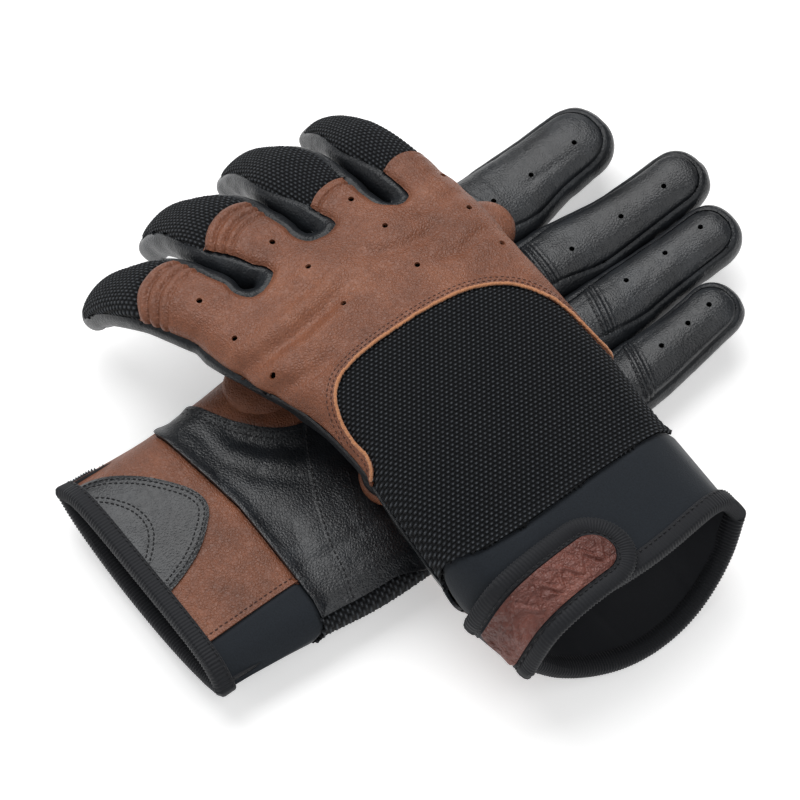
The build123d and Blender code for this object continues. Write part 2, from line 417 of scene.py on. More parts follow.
def polish(field, verts, quads, rounds=2):
    """Moves each vertex to the middle of its neighbours and back on the surface."""
    tri_edges = np.concatenate([quads[:, [0, 1]], quads[:, [1, 2]], quads[:, [2, 3]], quads[:, [3, 0]]])
    for _ in range(rounds):
        acc = np.zeros_like(verts)
        cnt = np.zeros(len(verts))
        for a, b in ((0, 1), (1, 0)):
            np.add.at(acc, tri_edges[:, a], verts[tri_edges[:, b]])
            np.add.at(cnt, tri_edges[:, a], 1)
        verts = 0.5 * verts + 0.5 * acc / cnt[:, None]
        e = 0.05
        for _ in range(2):
            x, y, z = verts.T
            d = field(x, y, z)
            gx = (field(x + e, y, z) - field(x - e, y, z)) / (2 * e)
            gy = (field(x, y + e, z) - field(x, y - e, z)) / (2 * e)
            gz = (field(x, y, z + e) - field(x, y, z - e)) / (2 * e)
            g = np.stack([gx, gy, gz], 1)
            g2 = np.maximum((g * g).sum(1), 0.05)
            move = np.clip(d / g2, -0.5, 0.5)[:, None] * g
            verts = verts - move
    return verts


# ---- meshes that can be cut -----------------------------------------------------------------------
class Tri:
    """A triangle mesh whose vertices carry values, so that it can be split along a value's zero."""

    def __init__(self, verts, tris):
        self.v, self.t = verts, tris          # v: (n, k) table of values, the first three are x, y, z

    def edges(self):
        """Each edge once, as a pair of vertices, and each triangle side's edge."""
        t, n = self.t, len(self.v)
        e = np.concatenate([t[:, [0, 1]], t[:, [1, 2]], t[:, [2, 0]]])
        e.sort(axis=1)
        key, inverse = np.unique(e[:, 0] * n + e[:, 1], return_inverse=True)
        return np.stack([key // n, key % n], 1), inverse.reshape(-1)

    def cut(self, value, snap=0.1):
        """Splits the triangles along the value's zero and keeps the value. Returns its column."""
        f = np.where(np.abs(value) < snap, 0.0, value)
        self.v = np.column_stack([self.v, f])
        unique, inverse = self.edges()
        cross = f[unique[:, 0]] * f[unique[:, 1]] < 0
        share = np.zeros(len(unique))
        fa, fb = f[unique[cross, 0]], f[unique[cross, 1]]
        share[cross] = fa / (fa - fb)
        self._cut(unique, inverse, cross, share)
        self.v[len(f):, -1] = 0.0
        return self.v.shape[1] - 1

    def refine(self, mask):
        """Halves every edge of the marked triangles."""
        unique, inverse = self.edges()
        cut = np.zeros(len(unique), bool)
        n = len(self.t)
        for k in range(3):
            cut[inverse[k * n:(k + 1) * n][mask]] = True
        self._cut(unique, inverse, cut, np.full(len(unique), 0.5))

    def _cut(self, unique, inverse, cut, share):
        n = len(self.t)
        ids = -np.ones(len(unique), dtype=np.int64)
        ids[cut] = len(self.v) + np.arange(cut.sum())
        k = share[cut][:, None]
        a, b = self.v[unique[cut, 0]], self.v[unique[cut, 1]]
        self.v = np.concatenate([self.v, a * (1 - k) + b * k])
        m = np.stack([ids[inverse[:n]], ids[inverse[n:2 * n]], ids[inverse[2 * n:]]], 1)
        count = (m >= 0).sum(1)
        out = [self.t[count == 0]]
        # one cut edge: turned so that it is the first
        for j in range(3):
            rows = (count == 1) & (m[:, j] >= 0)
            a, b, c = (self.t[rows][:, (j + i) % 3] for i in range(3))
            q = m[rows][:, j]
            out += [np.stack([a, q, c], 1), np.stack([q, b, c], 1)]
            # two cut edges: the uncut one turned to the third place
            rows = (count == 2) & (m[:, (j + 2) % 3] < 0)
            a, b, c = (self.t[rows][:, (j + i) % 3] for i in range(3))
            q, r = m[rows][:, j], m[rows][:, (j + 1) % 3]
            out += [np.stack([q, b, r], 1), np.stack([a, q, r], 1), np.stack([a, r, c], 1)]
        rows = count == 3
        a, b, c = self.t[rows].T
        q, r, s = m[rows].T
        out += [np.stack(x, 1) for x in ((a, q, s), (q, b, r), (s, r, c), (q, r, s))]
        self.t = np.concatenate(out)


def vertex_normals(p, t):
    n = np.cross(p[t[:, 1]] - p[t[:, 0]], p[t[:, 2]] - p[t[:, 0]])
    out = np.zeros_like(p)
    for k in range(3):
        np.add.at(out, t[:, k], n)
    return out / np.maximum(np.linalg.norm(out, axis=1), 1e-12)[:, None]


def outward(p, t, centre=0.0):
    """The triangles, turned so that the volume about the centre is positive."""
    a, b, c = (p[t[:, k]] - centre for k in range(3))
    return t[:, ::-1].copy() if np.einsum("ij,ij->i", a, np.cross(b, c)).sum() < 0 else t


def quad_tris(a, b, c, d):
    """Two triangles for each quad."""
    return np.concatenate([np.stack([a, b, c], -1).reshape(-1, 3), np.stack([a, c, d], -1).reshape(-1, 3)])


def skin_of(field, low, high, cell):
    """A field's smooth zero surface as vertices and outward triangles."""
    verts, quads = surface_nets(field, low, high, cell)
    verts = polish(field, verts, quads)
    return verts, outward(verts, quad_tris(*quads.T))


def border_edges(t):
    """The directed edges that have no partner."""
    e = np.concatenate([t[:, [0, 1]], t[:, [1, 2]], t[:, [2, 0]]])
    key = e[:, 0] * (t.max() + 1) + e[:, 1]
    back = e[:, 1] * (t.max() + 1) + e[:, 0]
    return e[~np.isin(key, back)]


# ---- where the panels meet ------------------------------------------------------------------------
class Outline:
    """A smooth closed outline in the plan, read as a distance to it: positive inside."""

    def __init__(self, points):
        p = np.array(points, float)
        for _ in range(3):
            q = np.roll(p, -1, 0)
            p = np.stack([0.75 * p + 0.25 * q, 0.25 * p + 0.75 * q], 1).reshape(-1, 2)
        self.p = p
        self.x, self.y = np.arange(-92.0, 93.0), np.arange(-30.0, 266.0)
        gx, gy = np.meshgrid(self.x, self.y, indexing="ij")
        best = np.full(gx.shape, 1e9)
        inside = np.zeros(gx.shape, bool)
        for a, b in zip(p, np.roll(p, -1, 0)):
            d = b - a
            t = np.clip(((gx - a[0]) * d[0] + (gy - a[1]) * d[1]) / (d @ d + 1e-12), 0, 1)
            best = np.minimum(best, np.hypot(gx - a[0] - t * d[0], gy - a[1] - t * d[1]))
            cross = (a[1] > gy) != (b[1] > gy)
            at = a[0] + (gy - a[1]) / (b[1] - a[1] + 1e-12) * d[0]
            inside ^= cross & (gx < at)
        self.grid = np.where(inside, best, -best)

    def __call__(self, x, y):
        i = np.clip(x - self.x[0], 0, len(self.x) - 1.001)
        j = np.clip(y - self.y[0], 0, len(self.y) - 1.001)
        a, b = i.astype(int), j.astype(int)
        u, v, g = i - a, j - b, self.grid
        return ((1 - u) * (1 - v) * g[a, b] + u * (1 - v) * g[a + 1, b]
                + (1 - u) * v * g[a, b + 1] + u * v * g[a + 1, b + 1])

    def moved(self, out):
        """The outline's points moved outwards."""
        a, b = np.roll(self.p, 1, 0), np.roll(self.p, -1, 0)
        t = b - a
        t /= np.linalg.norm(t, axis=1)[:, None] + 1e-12
        n = np.stack([t[:, 1], -t[:, 0]], 1)
        probe = self(*(self.p + n * 1.5).T) > 0
        n[probe] *= -1
        return self.p + n * out


KNIT_TOP = [(-75, 79), (-49.0, 80), (-45.6, 86), (-45.8, 94), (-44.0, 103), (-40.3, 110), (-34.5, 114.0),
            (-26, 115.4), (-15, 115.2), (-3, 114.6), (9.5, 113), (24, 109), (35, 100.5), (41, 87)]
DOMES = {
    "right": Outline(KNIT_TOP + [(42.3, 73), (43.5, 64), (48, 56), (76, 50), (76, -5), (-75, -5)]),
    "left": Outline(KNIT_TOP + [(47, 84), (76, 80), (76, -5), (-75, -5)]),
}
OVERLAY = Outline([(66, 42), (44, 52.5), (30, 55.3), (19, 59.5), (11, 63.2), (1, 68.5), (-12, 75.5),
                   (-22, 88), (-24, 104), (-20, 122), (-8, 138), (10, 146), (32, 147), (50, 142), (66, 138)])
WRIST_BACK = ([-60, -53, -39.5, -25, 8.9, 38.4, 60], [49, 46.5, 39.5, 36.3, 34.4, 33.0, 32.5])
WRIST_PALM = ([-60, -39.6, 0, 42, 60], [34.5, 35.8, 40.2, 39.5, 37.0])
PATCH = Outline([(-42.5, -24), (-42.5, -8), (-41.8, 0), (-40.8, 7), (-36.9, 13.8), (-29.5, 22), (-21.5, 28),
                 (-14.5, 32.2), (-7.8, 33.2), (-2.8, 30.2), (4.8, 21.5), (9.2, 12.4), (12.4, 1.9), (13, -8),
                 (13, -24)])
PATCH_ARC = Outline([(-36, -20), (-35.9, -1.1), (-31.5, 6.2), (-22, 12.6), (-12.3, 13.6), (-4.8, 8.8),
                     (2.2, -0.1), (4.5, -20)])
PALM_SEAM = [(12, 78), (29, 70.2), (38, 67.2), (56, 60)]
CUFF_SEAM = 34.0
# the thumb's base, let into the palm
GUSSET = [(-75, 46), (-48, 50.5), (-42.8, 53), (-35, 56), (-26.8, 60.8), (-19, 67), (-14.3, 74), (-12.5, 84),
          (-15, 96), (-24, 103), (-40, 106), (-75, 106)]
GUSSETS = {"left": Outline(GUSSET), "right": Outline([(x, y + 12) for x, y in GUSSET])}
# how far up the thumb's side the palm's brown leathers reach, as a value of rolling()
SIDE_ROLL = {"left": 0.5, "right": -9.0}
# where each finger's palm side is stitched in three rows: along it, and how the rows slant
FLEX_ROWS = {"index": (8.0, 0.22), "middle": (7.3, -0.06), "ring": (14.5, -0.28), "little": (17.5, -0.42)}
ROW_STEPS = (0.0, 2.3, 4.6)
THREAD_RADIUS = 0.26    # the mouth's and the tab's thread
RIB_HEIGHT, RIB_PITCH = 0.055, 1.2      # the elastic tape's ribs
# the other rows of stitches: how far apart they are, how long and how thick
STITCH = {"knit": (1.9, 1.25, 0.22), "patch": (1.9, 1.35, 0.28), "wrist": (2.0, 1.4, 0.28),
          "gusset": (1.9, 1.3, 0.28), "palm": (2.3, 1.6, 0.34), "flex": (1.8, 1.3, 0.28)}
LAYER_LIFT = {"palm_overlay": 0.55, "crescent_patch": 1.05}     # second leathers above the first
TAPE_WIDTH, TAPE_THICK = 5.6, 1.75      # the tape folded over the mouth's edge
LINING_GAP, LINING_THICK, LINING_REACH = 2.35, 0.45, 84     # the reach is from the mouth into the hand
PLEAT_PITCH, PLEAT_END = 3.6, (10.2, 11.4)      # the pleats fade between these places on a finger
BACK_HOLES = [(-48.4, 169.8), (-49.5, 150.8), (-49.3, 130.8), (-14.5, 171.8), (-13.3, 154.5),
              (-14.8, 134.6), (17.1, 166.9), (17.1, 149.2), (14.1, 129.4), (48.9, 154.3),
              (44.6, 136.3), (42.9, 117.7)]
PALM_HOLES = {"index": (2.9, 17.6, 36.4, 58), "middle": (1.5, 23, 46.5, 67),
              "ring": (-2.0, 32, 50.5, 67.5), "little": (-0.4, 32, 45.5, 56.5)}
HOLE = 1.02


def finger_point(finger, s, u):
    a = math.radians(finger.lean)
    return (finger.x + s * math.sin(a) + u * math.cos(a), finger.y + s * math.cos(a) - u * math.sin(a))


def rolling(flat, p):
    """How far round the side a point lies: 0 on the edge, growing over the back, falling over the palm."""
    depth = np.maximum(flat.plan(p[:, 0], p[:, 1]), 0)
    return np.sign(p[:, 2]) * (depth + np.abs(p[:, 2]))


def along_fingers(flat, x, y):
    """A point's place along its finger, shared smoothly in the forks."""
    weights, places = [], []
    for f in flat.g.fingers:
        s, u = flat.local(f, x, y)
        d = np.maximum(np.abs(u) - f.width * 0.45, 0.0)
        weights.append(np.exp(-((d / 2.0) ** 2)) + 1e-9)
        places.append(s)
    w = np.stack(weights, 0)
    return (np.stack(places, 0) * w).sum(0) / w.sum(0)


def seam_heights(flat, p):
    """Where on the side the back's edge and the palm's edge run, as values of rolling()."""
    x, y = p[:, 0], p[:, 1]
    s = along_fingers(flat, x, y)
    thumb = 1.0 + 1.0 * step(76, 92, y)
    little = -12.0 + 11.0 * (step(50, 66, y) if flat.g.side == "right" else step(66, 88, y))
    t = step(-15, 15, x)
    hand = thumb * (1 - t) + little * t
    out = step(-30, -4, s)
    # no fork on the outer sides of the first and the last finger: the seams stay low there
    _, u0 = flat.local(flat.g.fingers[0], x, y)
    _, u3 = flat.local(flat.g.fingers[3], x, y)
    outer = np.maximum(1 - step(-8, -1, u0), step(1, 8, u3))
    back = hand * (1 - out) + ((14.0 - 6.0 * step(8, 32, s)) * (1 - outer) + 3.0 * outer) * out
    palm = -hand * (1 - out) + ((12.0 - 5.5 * step(8, 34, s)) * (1 - outer) + 6.0 * outer) * out
    return back, palm


def knit_edge(flat, i, x, y):
    """Positive beyond the finger's knuckle leather."""
    f = flat.g.fingers[i]
    s, u = flat.local(f, x, y)
    return s - (f.knuckle + 2.2 - 4.0 * (u / (f.width / 2)) ** 2)


PARTS = ["back_leather", "back_knit", "palm_leather", "thumb_gusset", "cuff_neoprene", "cuff_leather"]
FINGERS = ["index", "middle", "ring", "little"]
for name in FINGERS:
    PARTS += [name + "_knuckle", name + "_knit", name + "_palm", name + "_fourchette"]
ID = {name: i for i, name in enumerate(PARTS)}
KIND = {}
for name in PARTS:
    KIND[ID[name]] = name.split("_")[-1] if name.split("_")[0] in FINGERS else name
KIND = {k: {"knuckle": "back_leather", "palm": "palm_leather"}.get(v, v) for k, v in KIND.items()}
KINDS = sorted(set(KIND.values()))
KIND_OF = np.array([KINDS.index(KIND[i]) for i in range(len(PARTS))])
# how each kind's edge stands where it meets another: height and width of the lift, in millimetres
EDGE = {
    ("back_leather", "back_knit"): (0.75, 2.2), ("back_knit", "back_leather"): (-0.5, 1.4),
    ("back_leather", "fourchette"): (-0.35, 0.8), ("fourchette", "back_leather"): (-1.1, 1.1),
    ("back_leather", "knit"): (0.25, 1.0), ("knit", "back_leather"): (-0.6, 1.0),
    ("knit", "fourchette"): (-0.5, 0.9), ("fourchette", "knit"): (-0.5, 0.9),
    ("palm_leather", "fourchette"): (-0.5, 0.8), ("fourchette", "palm_leather"): (-0.5, 0.8),
    ("palm_leather", "cuff_leather"): (1.3, 3.0), ("cuff_leather", "palm_leather"): (-0.7, 1.6),
    ("palm_leather", "cuff_neoprene"): (1.2, 3.0), ("cuff_neoprene", "palm_leather"): (-0.7, 1.6),
    ("palm_leather", "thumb_gusset"): (0.7, 2.4), ("thumb_gusset", "palm_leather"): (-0.5, 1.2),
    ("back_knit", "cuff_neoprene"): (0.8, 2.2), ("cuff_neoprene", "back_knit"): (-0.7, 1.4),
    ("back_knit", "cuff_leather"): (1.0, 2.2), ("cuff_leather", "back_knit"): (-0.6, 1.4),
    ("cuff_leather", "cuff_neoprene"): (0.5, 2.2), ("cuff_neoprene", "cuff_leather"): (-0.4, 1.0),
    ("palm_leather", "back_knit"): (0.5, 1.6), ("back_knit", "palm_leather"): (-0.6, 1.0),
    ("thumb_gusset", "back_knit"): (0.4, 1.6), ("back_knit", "thumb_gusset"): (-0.6, 1.0),
}
TURNED_IN = (-0.55, 0.9)
EDGE_REACH = 9.0
# folds in the leather: the line in the plan, its depth, its width and the swelling beside it
BACK_FOLDS = [
    ([(-60, 143), (-49, 138), (-33, 136.4), (-20, 137.5), (-6, 140.5)], 1.5, 3.0, 0.5),
    ([(-56, 131), (-47, 124), (-38, 121), (-28, 122)], 1.0, 2.4),
    ([(-57, 121), (-52, 113), (-50, 104)], 0.7, 2.2),
    ([(2, 146), (14, 139), (24, 137), (36, 138)], 0.9, 2.6),
    ([(20, 128), (30, 124), (44, 126)], 0.7, 2.2),
    ([(27, 148), (37, 144), (50, 145)], 0.6, 2.2),
    ([(-30, 150), (-20, 147), (-8, 149)], 0.5, 2.4),
]
PALM_FOLDS = [
    ([(-30, 52), (-16, 60), (-6, 72), (-3, 86)], 0.8, 3.4),
    ([(-22, 45), (-6, 54), (6, 66)], 0.5, 3.0),
    ([(-40, 44), (-30, 47), (-18, 47)], 0.4, 2.4),
    ([(6, 48), (18, 50), (34, 46)], 0.4, 3.2),
    ([(-20, 150), (0, 146), (24, 150), (44, 148)], 1.0, 2.6),
    ([(-10, 128), (10, 124), (36, 128)], 0.8, 2.6),
]
THICK = {"back_leather": 1.1, "back_knit": 1.1, "palm_leather": 1.1, "thumb_gusset": 1.0,
         "cuff_neoprene": 1.9, "cuff_leather": 1.6, "knit": 1.0, "fourchette": 1.0}


class Panels:
    """One glove's skin, cut into its panels and given its relief."""

    def __init__(self, glove):
        self.g = glove
        self.flat = flat = Flat(glove)
        self.tri = tri = Tri(*skin_of(flat.field, *FLAT_BOX, CELL))
        self.col = {}
        self.cut("mouth", flat.mouth)
        tri.t = tri.t[self.side("mouth")]
        self.cut("back", lambda p: rolling(flat, p) - seam_heights(flat, p)[0])
        self.cut("palm", lambda p: -rolling(flat, p) - seam_heights(flat, p)[1])
        self.cut("front", lambda p: along_fingers(flat, p[:, 0], p[:, 1]))
        for i in range(3):
            self.cut(f"fork{i}", lambda p: flat.away(glove.fingers[i], p[:, 0], p[:, 1])
                     - flat.away(glove.fingers[i + 1], p[:, 0], p[:, 1]))
        self.cut("beyond", self.beyond)
        self.cut("dome", lambda p: DOMES[glove.side](p[:, 0], p[:, 1]))
        self.cut("wrist", self.above_wrist)
        roll = SIDE_ROLL[glove.side]
        self.cut("swell", lambda p: np.minimum(GUSSETS[glove.side](p[:, 0], p[:, 1]),
                                               roll + 0.5 - rolling(flat, p)))
        # the leather of the wrist: the palm side from the thumb's edge to the seam
        self.cut("wrist_leather", lambda p: np.minimum(CUFF_SEAM - p[:, 0], roll - rolling(flat, p)))
        self.cut("overlay", lambda p: OVERLAY(p[:, 0], p[:, 1]))
        self.cut("patch", lambda p: PATCH(p[:, 0], p[:, 1]))
        self.refine_all()
        self.holes()
        self.finish()

    def beyond(self, p):
        """Positive on a finger beyond its knuckle leather."""
        out = np.full(len(p), -9.0)
        which = self.flat.nearest_finger(p[:, 0], p[:, 1])
        for i in range(4):
            here = which == i
            out[here] = knit_edge(self.flat, i, p[here, 0], p[here, 1])
        return out

    def above_wrist(self, p):
        """Positive beyond the cuff's seam, which runs differently over the back and the palm."""
        edge_b, edge_p = np.interp(p[:, 0], *WRIST_BACK), np.interp(p[:, 0], *WRIST_PALM)
        t = step(-9, 9, p[:, 2])
        return p[:, 1] - edge_p * (1 - t) - edge_b * t

    def cut(self, name, value, snap=0.1):
        """Splits the mesh where value(points) is zero."""
        self.col[name] = self.tri.cut(value(self.tri.v[:, :3]), snap)

    def side(self, name):
        return self.tri.v[self.tri.t, self.col[name]].sum(1) > 0

    def labels(self):
        t = self.tri.t
        s = self.side
        # a point beyond one fork's middle line is beyond those before it
        finger = np.where(s("fork2"), 3, np.where(s("fork1"), 2, np.where(s("fork0"), 1, 0)))
        out = np.full(len(t), ID["cuff_neoprene"])
        above, front = s("wrist"), s("front")
        palm, back = s("palm"), s("back") & ~s("palm")
        out[~above & s("wrist_leather")] = ID["cuff_leather"]
        out[above & palm] = np.where(s("swell"), ID["thumb_gusset"], ID["palm_leather"])[above & palm]
        out[above & back] = np.where(s("dome"), ID["back_knit"], ID["back_leather"])[above & back]
        beyond = s("beyond")
        for i, name in enumerate(FINGERS):
            mine = above & (finger == i)
            out[mine & palm & front] = ID[name + "_palm"]
            out[mine & back & front & ~beyond] = ID[name + "_knuckle"]
            out[mine & back & front & beyond] = ID[name + "_knit"]
            out[mine & ~palm & ~back] = ID[name + "_fourchette"]
        return out

    def hard_border(self, label):
        """Vertices where two kinds of panel meet, with both kinds."""
        t = self.tri.t
        n = len(self.tri.v)
        e = np.sort(np.concatenate([t[:, [0, 1]], t[:, [1, 2]], t[:, [2, 0]]]), axis=1)
        key = e[:, 0] * n + e[:, 1]
        kind = np.tile(KIND_OF[label], 3)
        order = np.argsort(key, kind="stable")
        key, kind, e = key[order], kind[order], e[order]
        same = (key[1:] == key[:-1]) & (kind[1:] != kind[:-1])
        a, b, ends = kind[:-1][same], kind[1:][same], e[:-1][same]
        return ends, np.stack([np.minimum(a, b), np.maximum(a, b)], 1)

    def near_border(self, label, reach):
        ends, kinds = self.hard_border(label)
        ids, first = np.unique(ends[:, 0], return_index=True)
        both = kinds[first]
        p = self.tri.v[:, :3]
        tree = kdtree.KDTree(len(ids))
        for i, v in enumerate(ids):
            tree.insert(p[v], i)
        tree.balance()
        far = np.full(len(p), 99.0)
        pair = np.zeros((len(p), 2), int)
        used = np.unique(self.tri.t)
        for v in used:
            _, i, d = tree.find(p[v])
            if d < reach:
                far[v] = d
                pair[v] = both[i]
        return far, pair

    def knit(self):
        """The triangles of the knit panels."""
        return np.isin(self.labels(), [i for i, kind in KIND.items() if kind.endswith("knit")])

    def refine_all(self):
        """Smaller triangles where the relief is fine: seams, knit, pleats and flex rows."""
        tri = self.tri
        label = self.labels()
        far, _ = self.near_border(label, EDGE_REACH)
        near = (far[tri.t] < 2.2).any(1)
        pleats = np.isin(label, [ID["index_knuckle"], ID["middle_knuckle"], ID["ring_knuckle"]])
        p = tri.v[:, :3][tri.t].mean(1)
        rows = np.zeros(len(p), bool)
        for f in self.g.fingers:
            s, u = self.flat.local(f, p[:, 0], p[:, 1])
            at, slant = FLEX_ROWS[f.name]
            rows |= (label == ID[f.name + "_palm"]) & (np.abs(s - at - slant * u - 2) < 4.5)
        tri.refine(near | self.knit() | pleats | rows)
        if self.g.side == "right":
            tri.refine(self.knit())

    def holes(self):
        tri = self.tri
        spots = [(x, y, 1) for x, y in BACK_HOLES]
        for f in self.g.fingers:
            u, *places = PALM_HOLES[f.name]
            spots += [(*finger_point(f, s, u), -1) for s in places]
        if self.g.side == "left":
            spots = [(x - 1.5, y + 3, z) if z > 0 else (x, y, z) for x, y, z in spots]

        def far(p):
            best = np.full(len(p), 9.0)
            for x, y, z in spots:
                d = np.hypot(p[:, 0] - x, p[:, 1] - y)
                best = np.where(p[:, 2] * z > 0, np.minimum(best, d), best)
            return best

        for reach in (3.0, 2.0):
            centre = tri.v[:, :3][tri.t].mean(1)
            tri.refine(far(centre) < reach)
        self.cut("hole", lambda p: far(p) - HOLE, 0.04)
        tri.t = tri.t[self.side("hole")]

    def relief(self, label):
        """Each triangle corner's panel height, as one value per vertex and kind."""
        tri, flat, g = self.tri, self.flat, self.g
        p = tri.v[:, :3]
        far, pair = self.near_border(label, EDGE_REACH)
        which = flat.nearest_finger(p[:, 0], p[:, 1])
        seed = 3 if g.side == "right" else 40
        soft = noise(p, 26.0, seed)
        bent = p + 2.5 * np.stack([noise(p, 7.0, seed + 5), noise(p, 7.0, seed + 6), soft], 1)
        fine = ridges(bent, 9.0, seed + 1)
        crumple = ridges(p * np.array([1.0, 0.55, 1.0]) + 3.0 * soft[:, None], 13.0, seed + 2)
        puff = np.minimum(far, 4.0) / 4.0
        surface = {
            "back_leather": lambda: (
                0.45 * soft + 0.16 * (fine - 0.6) + 0.25 * noise(p, 8.0, seed + 8) + self.back_folds(p)
                + self.pleats(p, which) + 0.35 * np.exp(-((far - 2.6) / 1.5) ** 2)),
            "back_knit": lambda: 0.25 * soft + 1.35 * self.weave(self.knit_rows(p)),
            "knit": lambda: self.finger_knit(p, which),
            "palm_leather": lambda: (
                0.45 * soft + 0.26 * (crumple - 0.6) + 0.14 * (fine - 0.6) + self.palm_folds(p)
                + self.flex_rows(p, which)),
            "thumb_gusset": lambda: 0.3 * soft + 0.3 * (crumple - 0.6),
            "fourchette": lambda: (
                0.75 * np.sqrt(np.clip(puff, 0, 1)) + 0.22 * noise(p, 5.0, seed + 9) * puff
                + 0.16 * (ridges(p * np.array([1.0, 0.45, 1.0]), 5.0, seed + 10) - 0.6) * puff),
            "cuff_neoprene": lambda: 0.30 * soft + 0.12 * noise(p, 11.0, seed + 11),
            "cuff_leather": lambda: 0.25 * soft + self.wrist_folds(p, seed),
        }
        heights = [surface[name]() + self.edge_lift(name, far, pair) for name in KINDS]
        return np.stack(heights, 1)

    def edge_lift(self, name, far, pair):
        """How a panel's edge stands up or sinks where it meets each other kind."""
        lift = np.full(len(far), TURNED_IN[0])
        wide = np.full(len(far), TURNED_IN[1])
        for (mine, other), (a, b) in EDGE.items():
            if mine == name:
                i, j = sorted((KINDS.index(mine), KINDS.index(other)))
                hit = (pair[:, 0] == i) & (pair[:, 1] == j)
                lift[hit], wide[hit] = a, b
        mine = (pair == KINDS.index(name)).any(1)
        return np.where(mine & (far < EDGE_REACH), lift * np.exp(-(far / wide) ** 2), 0)

    def weave(self, rows):
        """Short dashes in rows, from places along and across the rows."""
        a, b = rows[:, 0], rows[:, 1]
        line = np.floor(b / ROW)
        across = np.abs((b / ROW) % 1 - 0.5) * 2
        along = (a / DASH + 0.5 * (line % 2)) % 1
        bead = np.clip(1 - across ** 2, 0, 1) * (0.15 + 0.85 * np.sin(np.pi * along) ** 0.7)
        return 0.42 * bead - 0.2

    def finger_knit(self, p, which):
        h = np.zeros(len(p))
        for i, f in enumerate(self.g.fingers):
            here = which == i
            h[here] = 1.1 * self.weave(self.knit_rows(p[here], f))
        return h

    def knit_rows(self, p, finger=None):
        """Where a point lies along and across the knit's rows."""
        if finger is None:
            return np.stack([p[:, 0] - 0.11 * p[:, 1], p[:, 1] + 0.11 * p[:, 0], p[:, 2]], 1)
        s, u = self.flat.local(finger, p[:, 0], p[:, 1])
        return np.stack([(s + 0.012 * u * u) * 1.05, (u + 40) * 1.05, p[:, 2]], 1)

    def pleats(self, p, which):
        h = np.zeros(len(p))
        for i in range(3):
            here = which == i
            d = -knit_edge(self.flat, i, p[here, 0], p[here, 1])
            top = step(0.0, 4.0, p[here, 2])
            if i < 2:
                on = step(-0.5, 0.3, d) * (1 - step(*PLEAT_END, d))
                bump = 1.7 * np.abs(np.sin(np.pi * d / PLEAT_PITCH)) ** 0.6 - 1.1
            else:
                on = step(-0.5, 0.3, d) * (1 - step(5.0, 7.5, d))
                bump = 0.35 - 1.1 * np.exp(-((d - 3.2) / 0.5) ** 2)
            h[here] = bump * on * top
        return h

    def flex_rows(self, p, which):
        h = np.zeros(len(p))
        for i, f in enumerate(self.g.fingers):
            here = which == i
            s, u = self.flat.local(f, p[here, 0], p[here, 1])
            at, slant = FLEX_ROWS[f.name]
            d = s - at - slant * u
            low = step(0.0, 3.0, -p[here, 2])
            rows = sum(np.exp(-((d - c) / 0.45) ** 2) for c in ROW_STEPS)
            raise_up = step(-1.6, 0.2, d) * (1 - step(4.4, 6.4, d))
            h[here] = (0.55 * raise_up - 0.6 * rows) * low
        return h

    def crease(self, p, points, depth, width, shoulder=0.25):
        """A fold along a line in the plan: a valley with a swelling on each side."""
        q = np.array(points, float)
        best = np.full(len(p), 1e9)
        share = np.zeros(len(p))
        total = np.linalg.norm(np.diff(q, axis=0), axis=1).sum()
        run = 0.0
        for a, b in zip(q, q[1:]):
            d = b - a
            size = np.linalg.norm(d)
            t = np.clip(((p[:, :2] - a) @ d) / (d @ d), 0, 1)
            far = np.linalg.norm(p[:, :2] - a - t[:, None] * d, axis=1)
            closer = far < best
            best = np.where(closer, far, best)
            share = np.where(closer, (run + t * size) / total, share)
            run += size
        fade = np.sin(np.pi * np.clip(share, 0.02, 0.98)) ** 0.6
        swelling = shoulder * np.exp(-((best - 2.1 * width) / (1.2 * width)) ** 2)
        return depth * (swelling - np.exp(-(best / width) ** 2)) * fade

    def back_folds(self, p):
        up = step(0.0, 4.0, p[:, 2])
        return 1.35 * sum(self.crease(p, *fold) for fold in BACK_FOLDS) * up

    def palm_folds(self, p):
        down = step(0.0, 4.0, -p[:, 2])
        return sum(self.crease(p, *fold) for fold in PALM_FOLDS) * down

    def wrist_folds(self, p, seed):
        """Fine creases that fan out from the wrist seam."""
        fan = np.stack([p[:, 0] * 1.0 + 0.35 * p[:, 1], p[:, 1] * 0.22, p[:, 2] * 0.3], 1)
        return 0.30 * (ridges(fan, 4.2, seed + 20) - 0.6) * step(5, 25, p[:, 0] + 0.4 * p[:, 1])

    def finish(self):
        tri = self.tri
        self.label = label = self.labels()
        self.height = height = self.relief(label)
        p = tri.v[:, :3]
        base = self.flat.place(p)
        t = tri.t
        if self.g.back < 0:
            t = t[:, ::-1].copy()
        self.t = t
        self.base = base
        self.normal = vertex_normals(base, t)
        kind = KIND_OF[label]
        # the height that the details stand on: the mean of the panels meeting there
        total, count = np.zeros(len(p)), np.zeros(len(p))
        for k in range(3):
            np.add.at(total, t[:, k], height[t[:, k], kind])
            np.add.at(count, t[:, k], 1)
        self.top = base + self.normal * (total / np.maximum(count, 1))[:, None]
        self.kind = kind

    def extract(self, mask, kind, lift=0.0, thick=None, height=None):
        """A closed sheet over the marked triangles: vertices, triangles, normals and flat places."""
        h = self.height[:, KINDS.index(kind)] if height is None else height
        laid = self.base + self.normal * (h + lift)[:, None]
        group = self.kind == KINDS.index(kind)
        smooth = vertex_normals(laid, self.t[group | mask])
        return sheet(laid, self.t[mask], smooth, THICK[kind] if thick is None else thick,
                     self.tri.v[:, :3])


